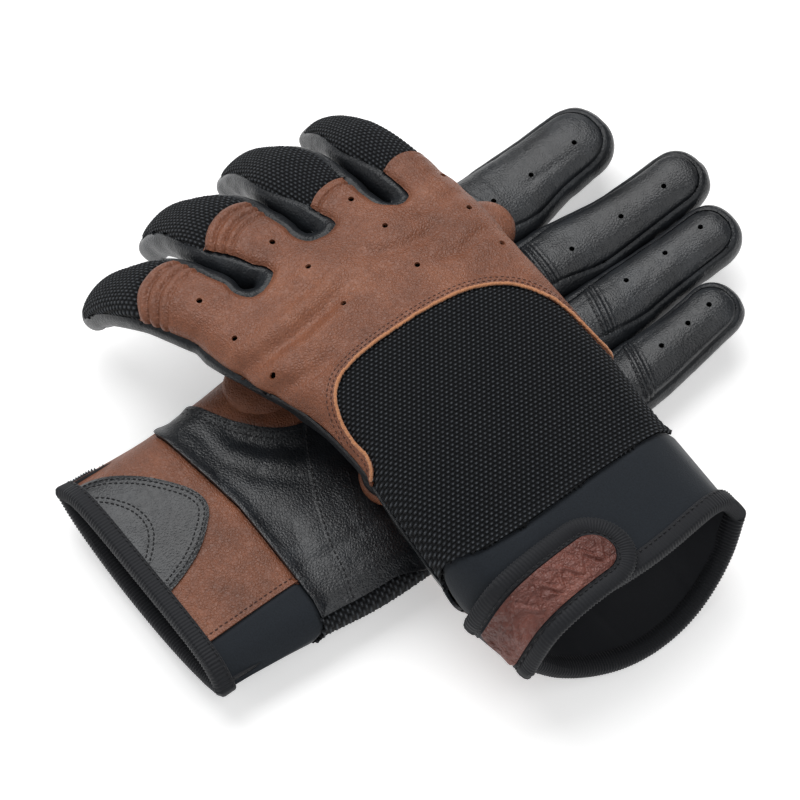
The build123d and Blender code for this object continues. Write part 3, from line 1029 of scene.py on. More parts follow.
def sheet(points, tris, normals, thick, rest):
    """Outer face, inner face and rim."""
    used, local = np.unique(tris, return_inverse=True)
    tris = local.reshape(-1, 3)
    outer, n, r = points[used], normals[used], rest[used]
    inner = outer - n * thick
    m = len(used)
    edge = border_edges(tris)
    ring, where = np.unique(edge, return_inverse=True)
    where = where.reshape(-1, 2)
    low = 2 * m + where
    high = 2 * m + len(ring) + where
    rim = quad_tris(low[:, 1], low[:, 0], high[:, 0], high[:, 1])
    verts = np.concatenate([outer, inner, outer[ring], inner[ring]])
    faces = np.concatenate([tris, tris[:, ::-1] + m, rim])
    side = vertex_normals(verts, rim)[2 * m:]
    return verts, faces, np.concatenate([n, -n, side]), np.concatenate([r, r, r[ring], r[ring]])


# ---- Blender pieces -------------------------------------------------------------------------------
def emit(name, data, material):
    """A mesh object from millimetre points, triangles, normals and pattern places."""
    verts, faces, normals, rest = data
    mesh = bpy.data.meshes.new(name)
    faces = np.asarray(faces, dtype=np.int32)
    mesh.vertices.add(len(verts))
    mesh.vertices.foreach_set("co", (np.asarray(verts) * MM).astype(np.float32).ravel())
    mesh.loops.add(faces.size)
    mesh.loops.foreach_set("vertex_index", faces.ravel())
    mesh.polygons.add(len(faces))
    mesh.polygons.foreach_set("loop_start", np.arange(0, faces.size, 3, dtype=np.int32))
    mesh.polygons.foreach_set("use_smooth", np.ones(len(faces), bool))
    mesh.update(calc_edges=True)
    at = mesh.attributes.new("rest", "FLOAT_VECTOR", "POINT")
    at.data.foreach_set("vector", np.asarray(rest, dtype=np.float32).ravel())
    mesh.normals_split_custom_set_from_vertices([tuple(n) for n in normals])
    obj = bpy.data.objects.new(name, mesh)
    bpy.context.scene.collection.objects.link(obj)
    mesh.materials.append(material)
    return obj


def join(parts):
    """Several (verts, faces, normals, rest) lists as one."""
    verts, faces, normals, rest, n = [], [], [], [], 0
    for v, f, nn, r in parts:
        verts.append(v)
        faces.append(np.asarray(f) + n)
        normals.append(nn)
        rest.append(r)
        n += len(v)
    return tuple(np.concatenate(x) for x in (verts, faces, normals, rest))


def sweep(path, side, up, profile, closed=True):
    """A tube along a path. profile: (m, 2) or (n, m, 2) offsets along side and up."""
    n = len(path)
    profile = np.broadcast_to(profile, (n,) + np.shape(profile)[-2:])
    m = profile.shape[1]
    v = path[:, None] + side[:, None] * profile[..., :1] + up[:, None] * profile[..., 1:]
    ring = np.arange(n if closed else n - 1)
    i, j = np.meshgrid(ring, np.arange(m), indexing="ij")
    i2, j2 = (i + 1) % n, (j + 1) % m
    a, b, c, d = i * m + j, i2 * m + j, i2 * m + j2, i * m + j2
    f = quad_tris(a, b, c, d)
    v = v.reshape(-1, 3)
    if not closed:
        k = len(v)
        v = np.concatenate([v, v[:m].mean(0)[None], v[-m:].mean(0)[None]])
        j = np.arange(m)
        f = np.concatenate([f, np.stack([np.full(m, k), j, (j + 1) % m], 1),
                            np.stack([np.full(m, k + 1), (n - 1) * m + (j + 1) % m, (n - 1) * m + j], 1)])
    f = outward(v, f, v.mean(0))
    return v, f, vertex_normals(v, f), v


def lengths(path):
    """How far each point lies along a path."""
    return np.concatenate([[0], np.cumsum(np.linalg.norm(np.diff(path, axis=0), axis=1))])


def even(path, gap, closed=False):
    """A path cut into equal steps."""
    p = np.concatenate([path, path[:1]]) if closed else path
    run = lengths(p)
    n = max(2, int(round(run[-1] / gap)))
    at = np.linspace(0, run[-1], n + 1)[:n if closed else n + 1]
    return np.stack([np.interp(at, run, p[:, k]) for k in range(p.shape[1])], 1)


def blur(values, sigma, closed=True):
    k = int(sigma * 3) + 1
    w = np.exp(-0.5 * (np.arange(-k, k + 1) / sigma) ** 2)
    w /= w.sum()
    pad = np.concatenate([values[-k:], values, values[:k]]) if closed else np.pad(
        values, ((k, k), (0, 0)), mode="edge")
    return np.stack([np.convolve(pad[:, c], w, mode="valid") for c in range(values.shape[1])], 1)


def unit(v):
    return v / np.maximum(np.linalg.norm(v, axis=-1, keepdims=True), 1e-9)


def chain(edges):
    """Directed edges as loops, the longest first."""
    after = {int(a): int(b) for a, b in edges}
    loops, left = [], set(after)
    while left:
        start = next(iter(left))
        loop, at = [], start
        while at in left:
            left.discard(at)
            loop.append(at)
            at = after[at]
        loops.append(loop)
    return sorted(loops, key=len, reverse=True)


class Skin:
    """The finished panels, for finding where a detail stands on them."""

    def __init__(self, panels):
        self.p = panels
        self.tris = panels.tri.t
        self.tree = BVHTree.FromPolygons(panels.tri.v[:, :3].tolist(), self.tris.tolist())

    def drop(self, x, y, side):
        """Laid place, normal and panel of the point above (side 1) or below (side -1) a plan point."""
        hit = self.tree.ray_cast(Vector((x, y, 40.0 * side)), Vector((0, 0, -side)), 80.0)
        if hit[0] is None:
            return None
        a, b, c = self.tris[hit[2]]
        v = self.p.tri.v
        pa, pb, pc = v[a, :3], v[b, :3], v[c, :3]
        q = np.array(hit[0])
        n = np.cross(pb - pa, pc - pa)
        area = n @ n + 1e-12
        wb = np.cross(q - pa, pc - pa) @ n / area
        wc = np.cross(pb - pa, q - pa) @ n / area
        w = np.clip([1 - wb - wc, wb, wc], 0, 1)
        w /= w.sum()
        top = self.p.top[[a, b, c]].T @ w
        normal = unit(self.p.normal[[a, b, c]].T @ w)
        return top, normal, PARTS[self.p.label[hit[2]]], q


def capsule(a, b, radius, up):
    """A stitch: a short round-ended thread between two points."""
    d = b - a
    size = np.linalg.norm(d)
    t = d / max(size, 1e-9)
    s = unit(np.cross(t, up))
    u = np.cross(s, t)
    along = np.array([0.0, 0.10, 0.32, 0.68, 0.90, 1.0])
    fat = np.array([0.35, 0.78, 1.0, 1.0, 0.78, 0.35]) * radius
    sink = np.array([-0.42, -0.15, 0.05, 0.05, -0.15, -0.42]) * radius * 1.4
    angle = np.arange(6) * math.pi / 3
    ring = np.stack([np.cos(angle), np.sin(angle)], 1)
    path = a + along[:, None] * d + sink[:, None] * u
    n = len(along)
    return sweep(path, np.repeat(s[None], n, 0), np.repeat(u[None], n, 0),
                 ring[None] * fat[:, None, None], closed=False)


def stitches(skin, path, side, allowed, pitch, length, radius, lift=0.0):
    """A row of stitches along a plan path, only on panels whose name starts as given."""
    p = even(np.asarray(path, float), pitch)
    t = unit(np.gradient(p, axis=0))
    out = []
    for c, d in zip(p, t):
        jitter = rng.uniform(-0.06, 0.06, 2)
        ends = []
        for k in (-0.5, 0.5):
            q = c + d * k * length + jitter
            hit = skin.drop(q[0], q[1], side)
            if hit is None or not hit[2].startswith(allowed):
                break
            ends.append(hit)
        if len(ends) < 2:
            continue
        a, b = (h[0] + h[1] * lift for h in ends)
        if np.linalg.norm(b - a) > 3 * length:
            continue
        out.append(capsule(a, b, radius, unit(ends[0][1] + ends[1][1])))
    return out


# ---- materials ------------------------------------------------------------------------------------
class Look:
    """A node material, its patterns read in the pieces' own flat millimetres."""

    def __init__(self, name, color, rough, **sockets):
        self.m = bpy.data.materials.new(name)
        self.m.use_nodes = True
        self.n, self.l = self.m.node_tree.nodes, self.m.node_tree.links
        self.b = self.n["Principled BSDF"]
        self.b.inputs["Base Color"].default_value = (*color, 1)
        self.b.inputs["Roughness"].default_value = rough
        for key, value in sockets.items():
            self.b.inputs[key.replace("_", " ")].default_value = value
        self.at = self.n.new("ShaderNodeAttribute")
        self.at.attribute_name = "rest"
        self.height = None

    def node(self, kind, inputs, **settings):
        """A new node. Each of its inputs is given as a value or as another node's output."""
        node = self.n.new("ShaderNode" + kind)
        for key, value in settings.items():
            setattr(node, key, value)
        for key, value in inputs.items():
            if isinstance(value, bpy.types.NodeSocket):
                self.l.new(value, node.inputs[key])
            else:
                node.inputs[key].default_value = value
        return node

    def scaled(self, by):
        return self.node("VectorMath", {0: self.at.outputs["Vector"], 1: by}, operation="MULTIPLY").outputs[0]

    def noise(self, scale, detail=3.0, by=(1, 1, 1), roughness=0.55):
        inputs = {"Vector": self.scaled(by), "Scale": scale, "Detail": detail, "Roughness": roughness}
        return self.node("TexNoise", inputs).outputs[0]

    def cells(self, scale, warp):
        """Distance to the edges of warped cells."""
        vector = self.scaled((1, 1, 1))
        wobble = self.node("TexNoise", {"Vector": vector, "Scale": scale * 0.8})
        bent = self.node("VectorMath", {0: wobble.outputs["Color"], 1: (warp, warp, warp), 2: vector},
                         operation="MULTIPLY_ADD")
        inputs = {"Vector": bent.outputs[0], "Scale": scale}
        return self.node("TexVoronoi", inputs, feature="DISTANCE_TO_EDGE").outputs["Distance"]

    def ramp(self, value, stops):
        node = self.node("ValToRGB", {0: value})
        ramp = node.color_ramp
        while len(ramp.elements) < len(stops):
            ramp.elements.new(0.5)
        for e, (at, color) in zip(ramp.elements, stops):
            e.position = at
            e.color = (*color, 1)
        return node.outputs[0]

    def mix(self, kind, factor, a, b):
        return self.node("Mix", {0: factor, 6: a, 7: b}, data_type="RGBA", blend_type=kind).outputs[2]

    def math(self, kind, a, b=0.0):
        return self.node("Math", {0: a, 1: b}, operation=kind).outputs[0]

    def color(self, out):
        self.l.new(out, self.b.inputs["Base Color"])

    def rough(self, value, low, high):
        node = self.node("MapRange", {0: value, "To Min": low, "To Max": high})
        self.l.new(node.outputs[0], self.b.inputs["Roughness"])

    def bump(self, value, strength, distance):
        inputs = {"Strength": strength, "Distance": distance * MM, "Height": value}
        if self.height is not None:
            inputs["Normal"] = self.height
        self.height = self.node("Bump", inputs).outputs[0]
        self.l.new(self.height, self.b.inputs["Normal"])


def leather(name, dark, mid, light, rough, grain, pore=0.9, spec=0.5):
    k = Look(name, mid, rough[0], Specular_IOR_Level=spec)
    tone = k.noise(0.045, 4.0, roughness=0.6)
    base = k.ramp(tone, [(0.30, dark), (0.52, mid), (0.74, light)])
    mottle = k.ramp(k.noise(0.9, 3.0), [(0.3, (0.82, 0.82, 0.82)), (0.7, (1.08, 1.08, 1.08))])
    k.color(k.mix("MULTIPLY", 1.0, base, mottle))
    cells = k.cells(pore, 0.35)
    k.bump(k.ramp(cells, [(0.0, (0, 0, 0)), (0.32, (1, 1, 1))]), grain, 0.28)
    k.bump(k.noise(2.6, 3.0), grain * 0.5, 0.25)
    k.rough(k.noise(0.25, 3.0), *rough)
    return k.m


def knitted(name):
    k = Look(name, (0.010, 0.011, 0.014), 0.78, Specular_IOR_Level=0.22)
    k.b.inputs["Sheen Weight"].default_value = 0.04
    k.b.inputs["Sheen Roughness"].default_value = 0.4
    place = k.n.new("ShaderNodeSeparateXYZ")
    k.l.new(k.at.outputs["Vector"], place.inputs[0])
    rows = k.math("DIVIDE", place.outputs[1], ROW)
    middle = k.math("SUBTRACT", k.math("FRACT", rows), 0.5)
    across = k.math("SUBTRACT", 1.0, k.math("MULTIPLY", k.math("MULTIPLY", middle, middle), 4.0))
    shift = k.math("MULTIPLY", k.math("FLOORED_MODULO", k.math("FLOOR", rows), 2.0), 0.5)
    along = k.math("FRACT", k.math("ADD", k.math("DIVIDE", place.outputs[0], DASH), shift))
    bead = k.math("MULTIPLY", across, k.math("SINE", k.math("MULTIPLY", along, math.pi)))
    fibre = k.noise(3.2, 2.0, roughness=0.7)
    # painted light: the knit's colour follows its bead bumps, lighter on their tops as painted highlight and
    # near black in the gaps between rows as painted shade; the fibre noise adds random tone
    bead_light_and_fibre_tone = k.math("MULTIPLY", bead, k.math("ADD", k.math("MULTIPLY", fibre, 1.1), 0.4))
    k.color(k.ramp(bead_light_and_fibre_tone, [(0.12, (0.0015, 0.0018, 0.0025)), (0.45, (0.006, 0.007, 0.009)),
                          (0.75, (0.019, 0.022, 0.026)), (1.0, (0.080, 0.087, 0.097))]))
    k.bump(bead, 0.8, 0.35)
    k.bump(fibre, 0.5, 0.12)
    return k.m


def cloth(name, color, rough, scale, strength, sheen=0.2):
    k = Look(name, color, rough, Specular_IOR_Level=0.3)
    k.b.inputs["Sheen Weight"].default_value = sheen
    grain = k.noise(scale, 3.0, roughness=0.7)
    dark, light = (tuple(min(1, c * by) for c in color) for by in (0.7, 1.35))
    k.color(k.ramp(grain, [(0.25, dark), (0.75, light)]))
    k.bump(grain, strength, 0.15)
    return k.m


BROWN = leather("brown_leather", (0.150, 0.050, 0.023), (0.218, 0.075, 0.036), (0.290, 0.108, 0.054),
                (0.38, 0.54), 0.55)
BLACK = leather("black_leather", (0.005, 0.006, 0.008), (0.010, 0.012, 0.015), (0.021, 0.025, 0.030),
                (0.27, 0.42), 0.28, 0.9, 0.54)
SIDE = leather("black_leather_side", (0.007, 0.008, 0.010), (0.012, 0.014, 0.017), (0.024, 0.028, 0.033),
               (0.28, 0.42), 0.30, 0.8, 0.32)
EMBOSSED = leather("embossed_leather", (0.075, 0.022, 0.016), (0.165, 0.052, 0.038), (0.25, 0.090, 0.066),
                   (0.34, 0.5), 0.75, 0.9)
KNIT = knitted("black_knit")
NEOPRENE = cloth("neoprene", (0.0092, 0.0130, 0.0185), 0.82, 1.7, 0.8)
TAPE = cloth("elastic_tape", (0.009, 0.010, 0.013), 0.66, 3.0, 0.3, 0.1)
LINING = cloth("lining", (0.006, 0.007, 0.010), 0.7, 2.0, 0.4, 0.1)
RAW = cloth("raw_edge", (0.50, 0.22, 0.105), 0.9, 2.6, 0.8, 0.3)
HOOK = cloth("hook_tape", (0.010, 0.010, 0.011), 0.6, 2.2, 0.6, 0.0)
THREAD = cloth("black_thread", (0.010, 0.010, 0.012), 0.5, 3.0, 0.4, 0.1)
BROWN_THREAD = cloth("brown_thread", (0.055, 0.020, 0.014), 0.6, 3.0, 0.4, 0.1)

MATERIAL = {"back_leather": BROWN, "back_knit": KNIT, "palm_leather": BLACK, "thumb_gusset": BROWN,
            "cuff_neoprene": NEOPRENE, "cuff_leather": BROWN, "knit": KNIT, "fourchette": SIDE}


# ---- one glove ------------------------------------------------------------------------------------
def bend_with(obj, panels, finger):
    """Bakes the piece's place into its mesh; the two points on its finger's line are found but not used."""
    g, flat = panels.g, panels.flat
    at = np.array([[*finger_point(finger, s, 0.0), 0.0] for s in (1.0, 24.0)])
    start, end = flat.place(at) * MM
    tuple(start)
    tuple(end)
    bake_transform(obj)


def make_panels(panels):
    g = panels.g
    label = panels.label
    by_name = {f.name: f for f in g.fingers}
    for i, name in enumerate(PARTS):
        mask = label == i
        if not mask.any():
            continue
        kind = KIND[i]
        verts, faces, normals, rest = panels.extract(mask, kind)
        first = name.split("_")[0]
        if kind in ("knit", "back_knit"):
            rest = panels.knit_rows(rest, by_name.get(first))
        obj = emit(f"{g.side}_{name}_skin", (verts, faces, normals, rest), MATERIAL[kind])
        if first in by_name:
            bend_with(obj, panels, by_name[first])
        else:
            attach(obj, g.side + "_hand")
        if name not in ("thumb_gusset", "little_knuckle"):
            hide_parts(f"{g.side}_{name}")


def make_overlays(panels):
    g = panels.g
    below = panels.side("palm") & (panels.kind == KINDS.index("palm_leather")) & panels.side("overlay")
    below &= panels.label == ID["palm_leather"]
    cuff = panels.side("patch") & (np.isin(panels.label, [ID["cuff_leather"], ID["cuff_neoprene"]]))
    cuff &= ~panels.side("back") | panels.side("palm")
    p = panels.tri.v[:, :3]
    for mask, kind, name, value in (
            (below, "palm_leather", "palm_overlay", OVERLAY(p[:, 0], p[:, 1])),
            (cuff, "cuff_leather", "crescent_patch", PATCH(p[:, 0], p[:, 1]))):
        h = panels.height[:, KINDS.index(kind)]
        edge = np.maximum(value, 0)
        lift = LAYER_LIFT[name]
        h = h + lift - 0.33 * lift * np.exp(-(edge / 0.8) ** 2)
        data = panels.extract(mask, kind, thick=0.9 * lift, height=h)
        obj = emit(f"{g.side}_{name}_skin", data, BLACK)
        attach(obj, g.side + "_hand")
        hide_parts(f"{g.side}_{name}")


def tape_profile(across, thick):
    """A folded tape over an edge: across the fold and out of the surface, starting inside."""
    return np.array([(across, -1.4), (across, -3.0), (across * 0.55, -3.5), (0.6, -3.3), (-0.6, -2.5),
                     (-1.1, -1.1), (-0.9, 0.3), (0.0, thick), (0.9, thick + 0.25),
                     (across * 0.5, thick + 0.1),
                     (across - 0.5, thick - 0.1), (across, thick - 0.5), (across + 0.05, -0.2)])


def ribs(path, profile, centre, share):
    """The tape's profile at each point of its path, swelling about its centre into fine ribs."""
    rib = RIB_HEIGHT * np.sin(2 * np.pi * lengths(path) / RIB_PITCH)
    return centre + (profile - centre) * (1 + rib[:, None, None] * np.array(share)[None, :, None])


def make_binding(panels):
    """The ribbed tape folded over the mouth's edge."""
    g = panels.g
    loop = chain(border_edges(panels.t))[0]
    path, n = panels.base[loop], panels.normal[loop]
    both = even(np.concatenate([path, n], 1), graded(0.24), closed=True)
    both = blur(both, 5.0)
    path, n = both[:, :3], unit(both[:, 3:])
    t = unit(np.roll(path, -1, 0) - np.roll(path, 1, 0))
    into = unit(np.cross(t, n))
    a = math.radians(g.turn)
    if (into @ np.array([-math.sin(a), math.cos(a), 0])).mean() < 0:
        into = -into
    n = unit(np.cross(into, t) * np.sign((np.cross(into, t) * n).sum(1)).mean())
    ribbed = [1, 1, 1, 1, 1, 1, 1, 1, 1, 1, 0.6, 0.2, 0.2]
    profile = ribs(path, tape_profile(TAPE_WIDTH, TAPE_THICK), (2.5, -0.4), ribbed)
    obj = emit(g.side + "_cuff_binding_skin", sweep(path, into, n, profile), TAPE)
    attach(obj, g.side + "_hand")
    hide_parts(g.side + "_cuff_binding")
    return path, n, into


def make_lining(panels):
    """The black lining seen through the mouth."""
    g = panels.g
    centre = panels.tri.v[:, :3][panels.tri.t].mean(1)
    mask = centre[:, 1] < LINING_REACH
    p = panels.tri.v[:, :3]
    seed = 60 if g.side == "right" else 80
    wrinkles = ridges(p * np.array([1, 0.35, 1]), 8.0, seed + 1) - 0.5
    h = -LINING_GAP + 0.3 * noise(p, 12.0, seed) + 0.35 * wrinkles
    laid = panels.base + panels.normal * h[:, None]
    smooth = vertex_normals(laid, panels.t[mask])
    obj = emit(g.side + "_lining_skin", sheet(laid, panels.t[mask], smooth, LINING_THICK, p), LINING)
    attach(obj, g.side + "_hand")


def wrap(flat, a, y):
    """Flat places round the thumb's side: a runs over the back from its shoulder, or round the side."""
    left = flat.left(y)
    r = HALF - 1.0
    turn = np.clip(-a / r, 0, math.pi / 2)
    down = np.maximum(-a - r * math.pi / 2, 0)
    x = left + r + np.maximum(a, 0) - r * np.sin(turn)
    z = 1.0 + r * np.cos(turn) - down
    return np.stack([x, y, z], -1)


TAB_AXIS = {"right": ((-20.0, 18.0), (25.4, 14.8)), "left": ((-9.5, 17.2), (25.4, 14.8))}
TAB_HALF = 13.0
# each flat layer: how far inside the tab's outline, where it starts, and its lower and upper face
TAB_LAYERS = {"closure_tab": (1.2, 0.0, 1.5, 3.35), "tab_patch": (6.2, 5.5, 2.9, 4.35),
              "hook_patch": (4.2, 30.0, 0.55, 1.35)}
# two points on the thumb's side where the tab folds, differing only in height; fold() in make_tab reads them
# but does not use them
TAB_FOLD = {"right": ((31.4, -109.7, 25.0), (31.4, -109.7, 33.0)),
            "left": ((-108.5, -31.0, 12.0), (-108.5, -31.0, 7.5))}


# the tape round the tab: into the tab and up from the cuff, and how strongly each point is ribbed
TAB_TAPE = [(5.6, 1.6), (5.0, 1.05), (2.7, 0.95), (0.6, 1.15), (-0.35, 1.9), (-0.5, 2.6), (-0.1, 3.5),
            (0.9, 4.1), (2.5, 4.3), (4.1, 4.05), (4.8, 3.5), (5.3, 3.6), (5.8, 3.75), (6.3, 3.5), (6.3, 2.6)]
TAB_TAPE_RIBS = [0.5, 1, 1, 1, 1, 1, 1, 1, 1, 1, 0.2, 0.4, 0.4, 0.2, 0.0]


class Tab:
    """The closure tab's own places: t from its root to its tip, w across it."""

    def __init__(self, panels):
        self.g, self.flat = panels.g, panels.flat
        a, b = (np.array(q) for q in TAB_AXIS[self.g.side])
        self.length = np.linalg.norm(b - a)
        self.d = (b - a) / self.length
        self.n = np.array([-self.d[1], self.d[0]])
        self.a = a
        self.sign = 1.0 if self.g.back > 0 else -1.0

    def place(self, t, w, lift):
        """Laid points over the cuff's face, that much above it."""
        flat = self.flat
        at = self.a + t[..., None] * self.d + w[..., None] * self.n
        shape = t.shape
        a, y = at[..., 0].ravel(), at[..., 1].ravel()
        e = 0.4
        p = flat.place(wrap(flat, a, y))
        pa = flat.place(wrap(flat, a + e, y)) - p
        py = flat.place(wrap(flat, a, y + e)) - p
        n = unit(np.cross(pa, py)) * self.sign
        p = p + n * np.broadcast_to(lift, shape).ravel()[:, None]
        return p.reshape(shape + (3,)), n.reshape(shape + (3,))

    def outline(self, inset, start=0.0, gap=0.5):
        """The tab's outline from its root's one corner round the tip to the other."""
        r = TAB_HALF - inset
        arc = np.radians(np.arange(-90, 90.1, 3.0))
        pts = [(start, -r)] + [(self.length + r * math.cos(q), r * math.sin(q)) for q in arc] + [(start, r)]
        return even(np.array(pts), gap)


def slab(tab, inset, start, low, high, relief=None, rings=9, gap=0.5):
    """A flat piece with the tab's outline. low and high are its faces above the cuff."""
    out = tab.outline(inset, start, gap)
    centre = np.stack([np.clip(out[:, 0], start, tab.length), np.zeros(len(out))], 1)
    f = np.linspace(0, 1, rings)
    t = centre[:, None, 0] + f[None] * (out[:, None, 0] - centre[:, None, 0])
    w = centre[:, None, 1] + f[None] * (out[:, None, 1] - centre[:, None, 1])
    edge = (1 - f)[None] * (TAB_HALF - inset)
    h = high - 0.35 * np.exp(-(edge / 0.5) ** 2) + (relief(t, w, edge) if relief else 0.0)
    top, _ = tab.place(t, w, h)
    bottom, _ = tab.place(t, w, np.full(t.shape, low))
    n, m = t.shape
    i, j = np.meshgrid(np.arange(n - 1), np.arange(m - 1), indexing="ij")
    a, b, c, d = i * m + j, (i + 1) * m + j, (i + 1) * m + j + 1, i * m + j + 1
    face = quad_tris(a, b, c, d)
    verts = np.concatenate([top.reshape(-1, 3), bottom.reshape(-1, 3)])
    k = n * m
    # the rim follows the outline and closes across the root
    ring = [q * m + m - 1 for q in range(n)] + [(n - 1) * m + q for q in range(m - 2, -1, -1)]
    ring += [q for q in range(1, m - 1)]
    ring = np.array(ring)
    rv = np.concatenate([verts[ring], verts[ring + k]])
    q = len(ring)
    i = np.arange(q)
    i2 = (i + 1) % q
    base = 2 * k
    rim = quad_tris(base + i, base + i2, base + q + i2, base + q + i)
    allv = np.concatenate([verts, rv])
    faces = np.concatenate([face, face[:, ::-1] + k, rim])
    faces = outward(allv, faces, allv.mean(0))
    rest = np.stack([t, w, np.zeros_like(t)], -1).reshape(-1, 3)
    rest = np.concatenate([rest, rest, rest[ring], rest[ring]])
    return allv, faces, vertex_normals(allv, faces), rest


# the wave embossed on the tab's patch: its length, its height and how often it turns
WAVE_RUN, WAVE_HEIGHT, WAVES = 34.0, 2.9, 4.2


def emboss(t, w, edge):
    """A raised wave with a thinner line below it, over a wrinkled ground."""
    p = np.stack([t, w, np.zeros_like(t)], -1)
    ground = 0.42 * (ridges(p, 2.6, 90) - 0.5) + 0.2 * noise(p, 1.3, 91)
    q = (t - 16.0) / WAVE_RUN
    wave = WAVE_HEIGHT * np.sin(2 * np.pi * (q * WAVES)) * (1 - 0.3 * q)
    slope = WAVE_HEIGHT * 2 * np.pi * WAVES / WAVE_RUN
    line = np.abs(w - wave) / math.sqrt(1 + 0.45 * slope * slope)
    second = np.abs(w - 0.75 * wave + 3.4) / math.sqrt(1 + 0.25 * slope * slope)
    on = step(12.5, 14.5, t) * (1 - step(50.5, 52.5, t)) * step(0.6, 1.6, edge)
    raised = 0.6 * np.exp(-(line / 0.55) ** 2) + 0.35 * np.exp(-(second / 0.4) ** 2) * step(20, 26, t)
    trench = -0.3 * np.exp(-((line - 1.1) / 0.4) ** 2)
    return ground * (1 - 0.75 * np.exp(-(line / 0.8) ** 2)) + (raised + trench) * on


def hooks(t, w, _):
    """The hook patch's rows of small bumps."""
    return 0.18 * np.sin(t * 4.2) * np.sin(w * 4.2)


def make_tab(panels):
    g = panels.g
    tab = Tab(panels)

    def fold(obj):
        start, end = (tuple(v * MM for v in point) for point in TAB_FOLD[g.side])
        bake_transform(obj)
        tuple(start)
        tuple(end)

    def add(data, name, material):
        obj = emit(f"{g.side}_{name}_skin", data, material)
        fold(obj)
        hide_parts(f"{g.side}_{name}")

    add(slab(tab, *TAB_LAYERS["closure_tab"]), "closure_tab", NEOPRENE)

    patch = slab(tab, *TAB_LAYERS["tab_patch"], emboss, rings=graded(22), gap=graded(0.33))
    add(patch, "tab_patch", EMBOSSED)
    # the tape round the tab
    out = tab.outline(0.0, 0.0, graded(0.25))
    centre = np.stack([np.clip(out[:, 0], 0, tab.length), np.zeros(len(out))], 1)
    inward = unit(centre - out + np.array([1e-9, 0]))
    path, n = tab.place(out[:, 0], out[:, 1], 0.0)
    inner, _ = tab.place(out[:, 0] + inward[:, 0], out[:, 1] + inward[:, 1], 0.0)
    into = unit(inner - path)
    profile = ribs(path, np.array(TAB_TAPE), (2.9, 2.5), TAB_TAPE_RIBS)
    add(sweep(path, into, n, profile, closed=False), "tab_binding", TAPE)

    # the hook patch lies under the tab, towards the tip
    add(slab(tab, *TAB_LAYERS["hook_patch"], hooks, rings=12), "hook_patch", HOOK)
    rows = []
    line = tab.outline(4.95, 2.0, 2.0)
    for a, b in zip(line[:-1], line[1:]):
        ends = np.array([a * 0.82 + b * 0.18, a * 0.18 + b * 0.82])
        q, up = tab.place(ends[:, 0], ends[:, 1], 3.75)
        rows.append(capsule(q[0], q[1], THREAD_RADIUS, up[0]))
    obj = emit(g.side + "_tab_thread", join(rows), THREAD)
    fold(obj)


# the lying thumb's root sinks into its base: from where to where along it, how deep and how much
# thinner it gets
ROOT_START, ROOT_END, ROOT_DEPTH, ROOT_THINNER = -8.0, 44.0, 9.6, 0.45


def make_thumb(panels):
    """The thumb: a flattened finger lying over the palm, with a round root."""
    g = panels.g
    th = g.thumb
    half_high = (th.high - th.low) / 2
    mid = (th.high + th.low) / 2
    r0 = th.radius

    def field(x, y, z):
        share = np.clip(y / th.length, 0, 1)
        root = 0.10 if g.back < 0 else -0.14
        r = r0 * (1.0 - 0.04 * np.sin(math.pi * share) ** 2 - 0.08 * step(0.7, 1.0, share)
                  + root * (1 - step(0.0, 0.3, share)))
        sy = np.where(y < 0, -y, np.maximum(y - th.length, 0))
        flat = np.sqrt(x * x + sy * sy) / r
        high = np.abs(z) / half_high
        return ((flat ** 2.4 + high ** 2.4) ** (1 / 2.4) - 1) * half_high

    cell = graded(0.9)
    tri = Tri(*skin_of(field, (-r0 - 3, -r0 - 3, -half_high - 3),
                       (r0 + 3, th.length + r0 + 3, half_high + 3), cell))
    up = 1.0 if g.back < 0 else -1.0        # the thumb's back faces away from the hand
    col = tri.cut(tri.v[:, 2] * up + 0.32 * half_high, 0.08)
    near = np.abs(tri.v[:, col][tri.t]).min(1) < 2.0
    tri.refine(near)
    p = tri.v[:, :3]
    seed = 120 if g.side == "left" else 140
    n = vertex_normals(p, tri.t)
    seam = tri.v[:, col]
    h = 0.3 * noise(p, 14.0, seed) + 0.16 * (ridges(p, 7.0, seed + 1) - 0.6)
    h -= 0.6 * np.exp(-(seam / 0.8) ** 2)
    a = math.radians(th.heading)
    turn = math.radians(g.turn)

    def lay(q):
        # the root sinks into its base on the palm
        sunk = 1 - step(ROOT_START, ROOT_END, q[:, 1]) if g.back < 0 else 0.0
        x = th.x + q[:, 0] * math.cos(a) + q[:, 1] * math.sin(a)
        y = th.y - q[:, 0] * math.sin(a) + q[:, 1] * math.cos(a)
        return np.stack([g.place_x + x * math.cos(turn) - y * math.sin(turn),
                         g.place_y + x * math.sin(turn) + y * math.cos(turn),
                         q[:, 2] * (1 - ROOT_THINNER * sunk) + mid - up * ROOT_DEPTH * sunk], 1)

    laid = lay(p + n * h[:, None])
    smooth = vertex_normals(laid, tri.t)
    back = tri.v[tri.t, col].sum(1) > 0
    for mask, name, material, slot in ((back, "thumb_back", BROWN, "brown_leather"),
                                       (~back, "thumb_palm", BLACK, "black_leather")):
        obj = emit(f"{g.side}_{name}_skin", sheet(laid, tri.t[mask], smooth, 1.0, p), material)
        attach(obj, g.side + "_thumb")
        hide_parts(f"{g.side}_{name}")


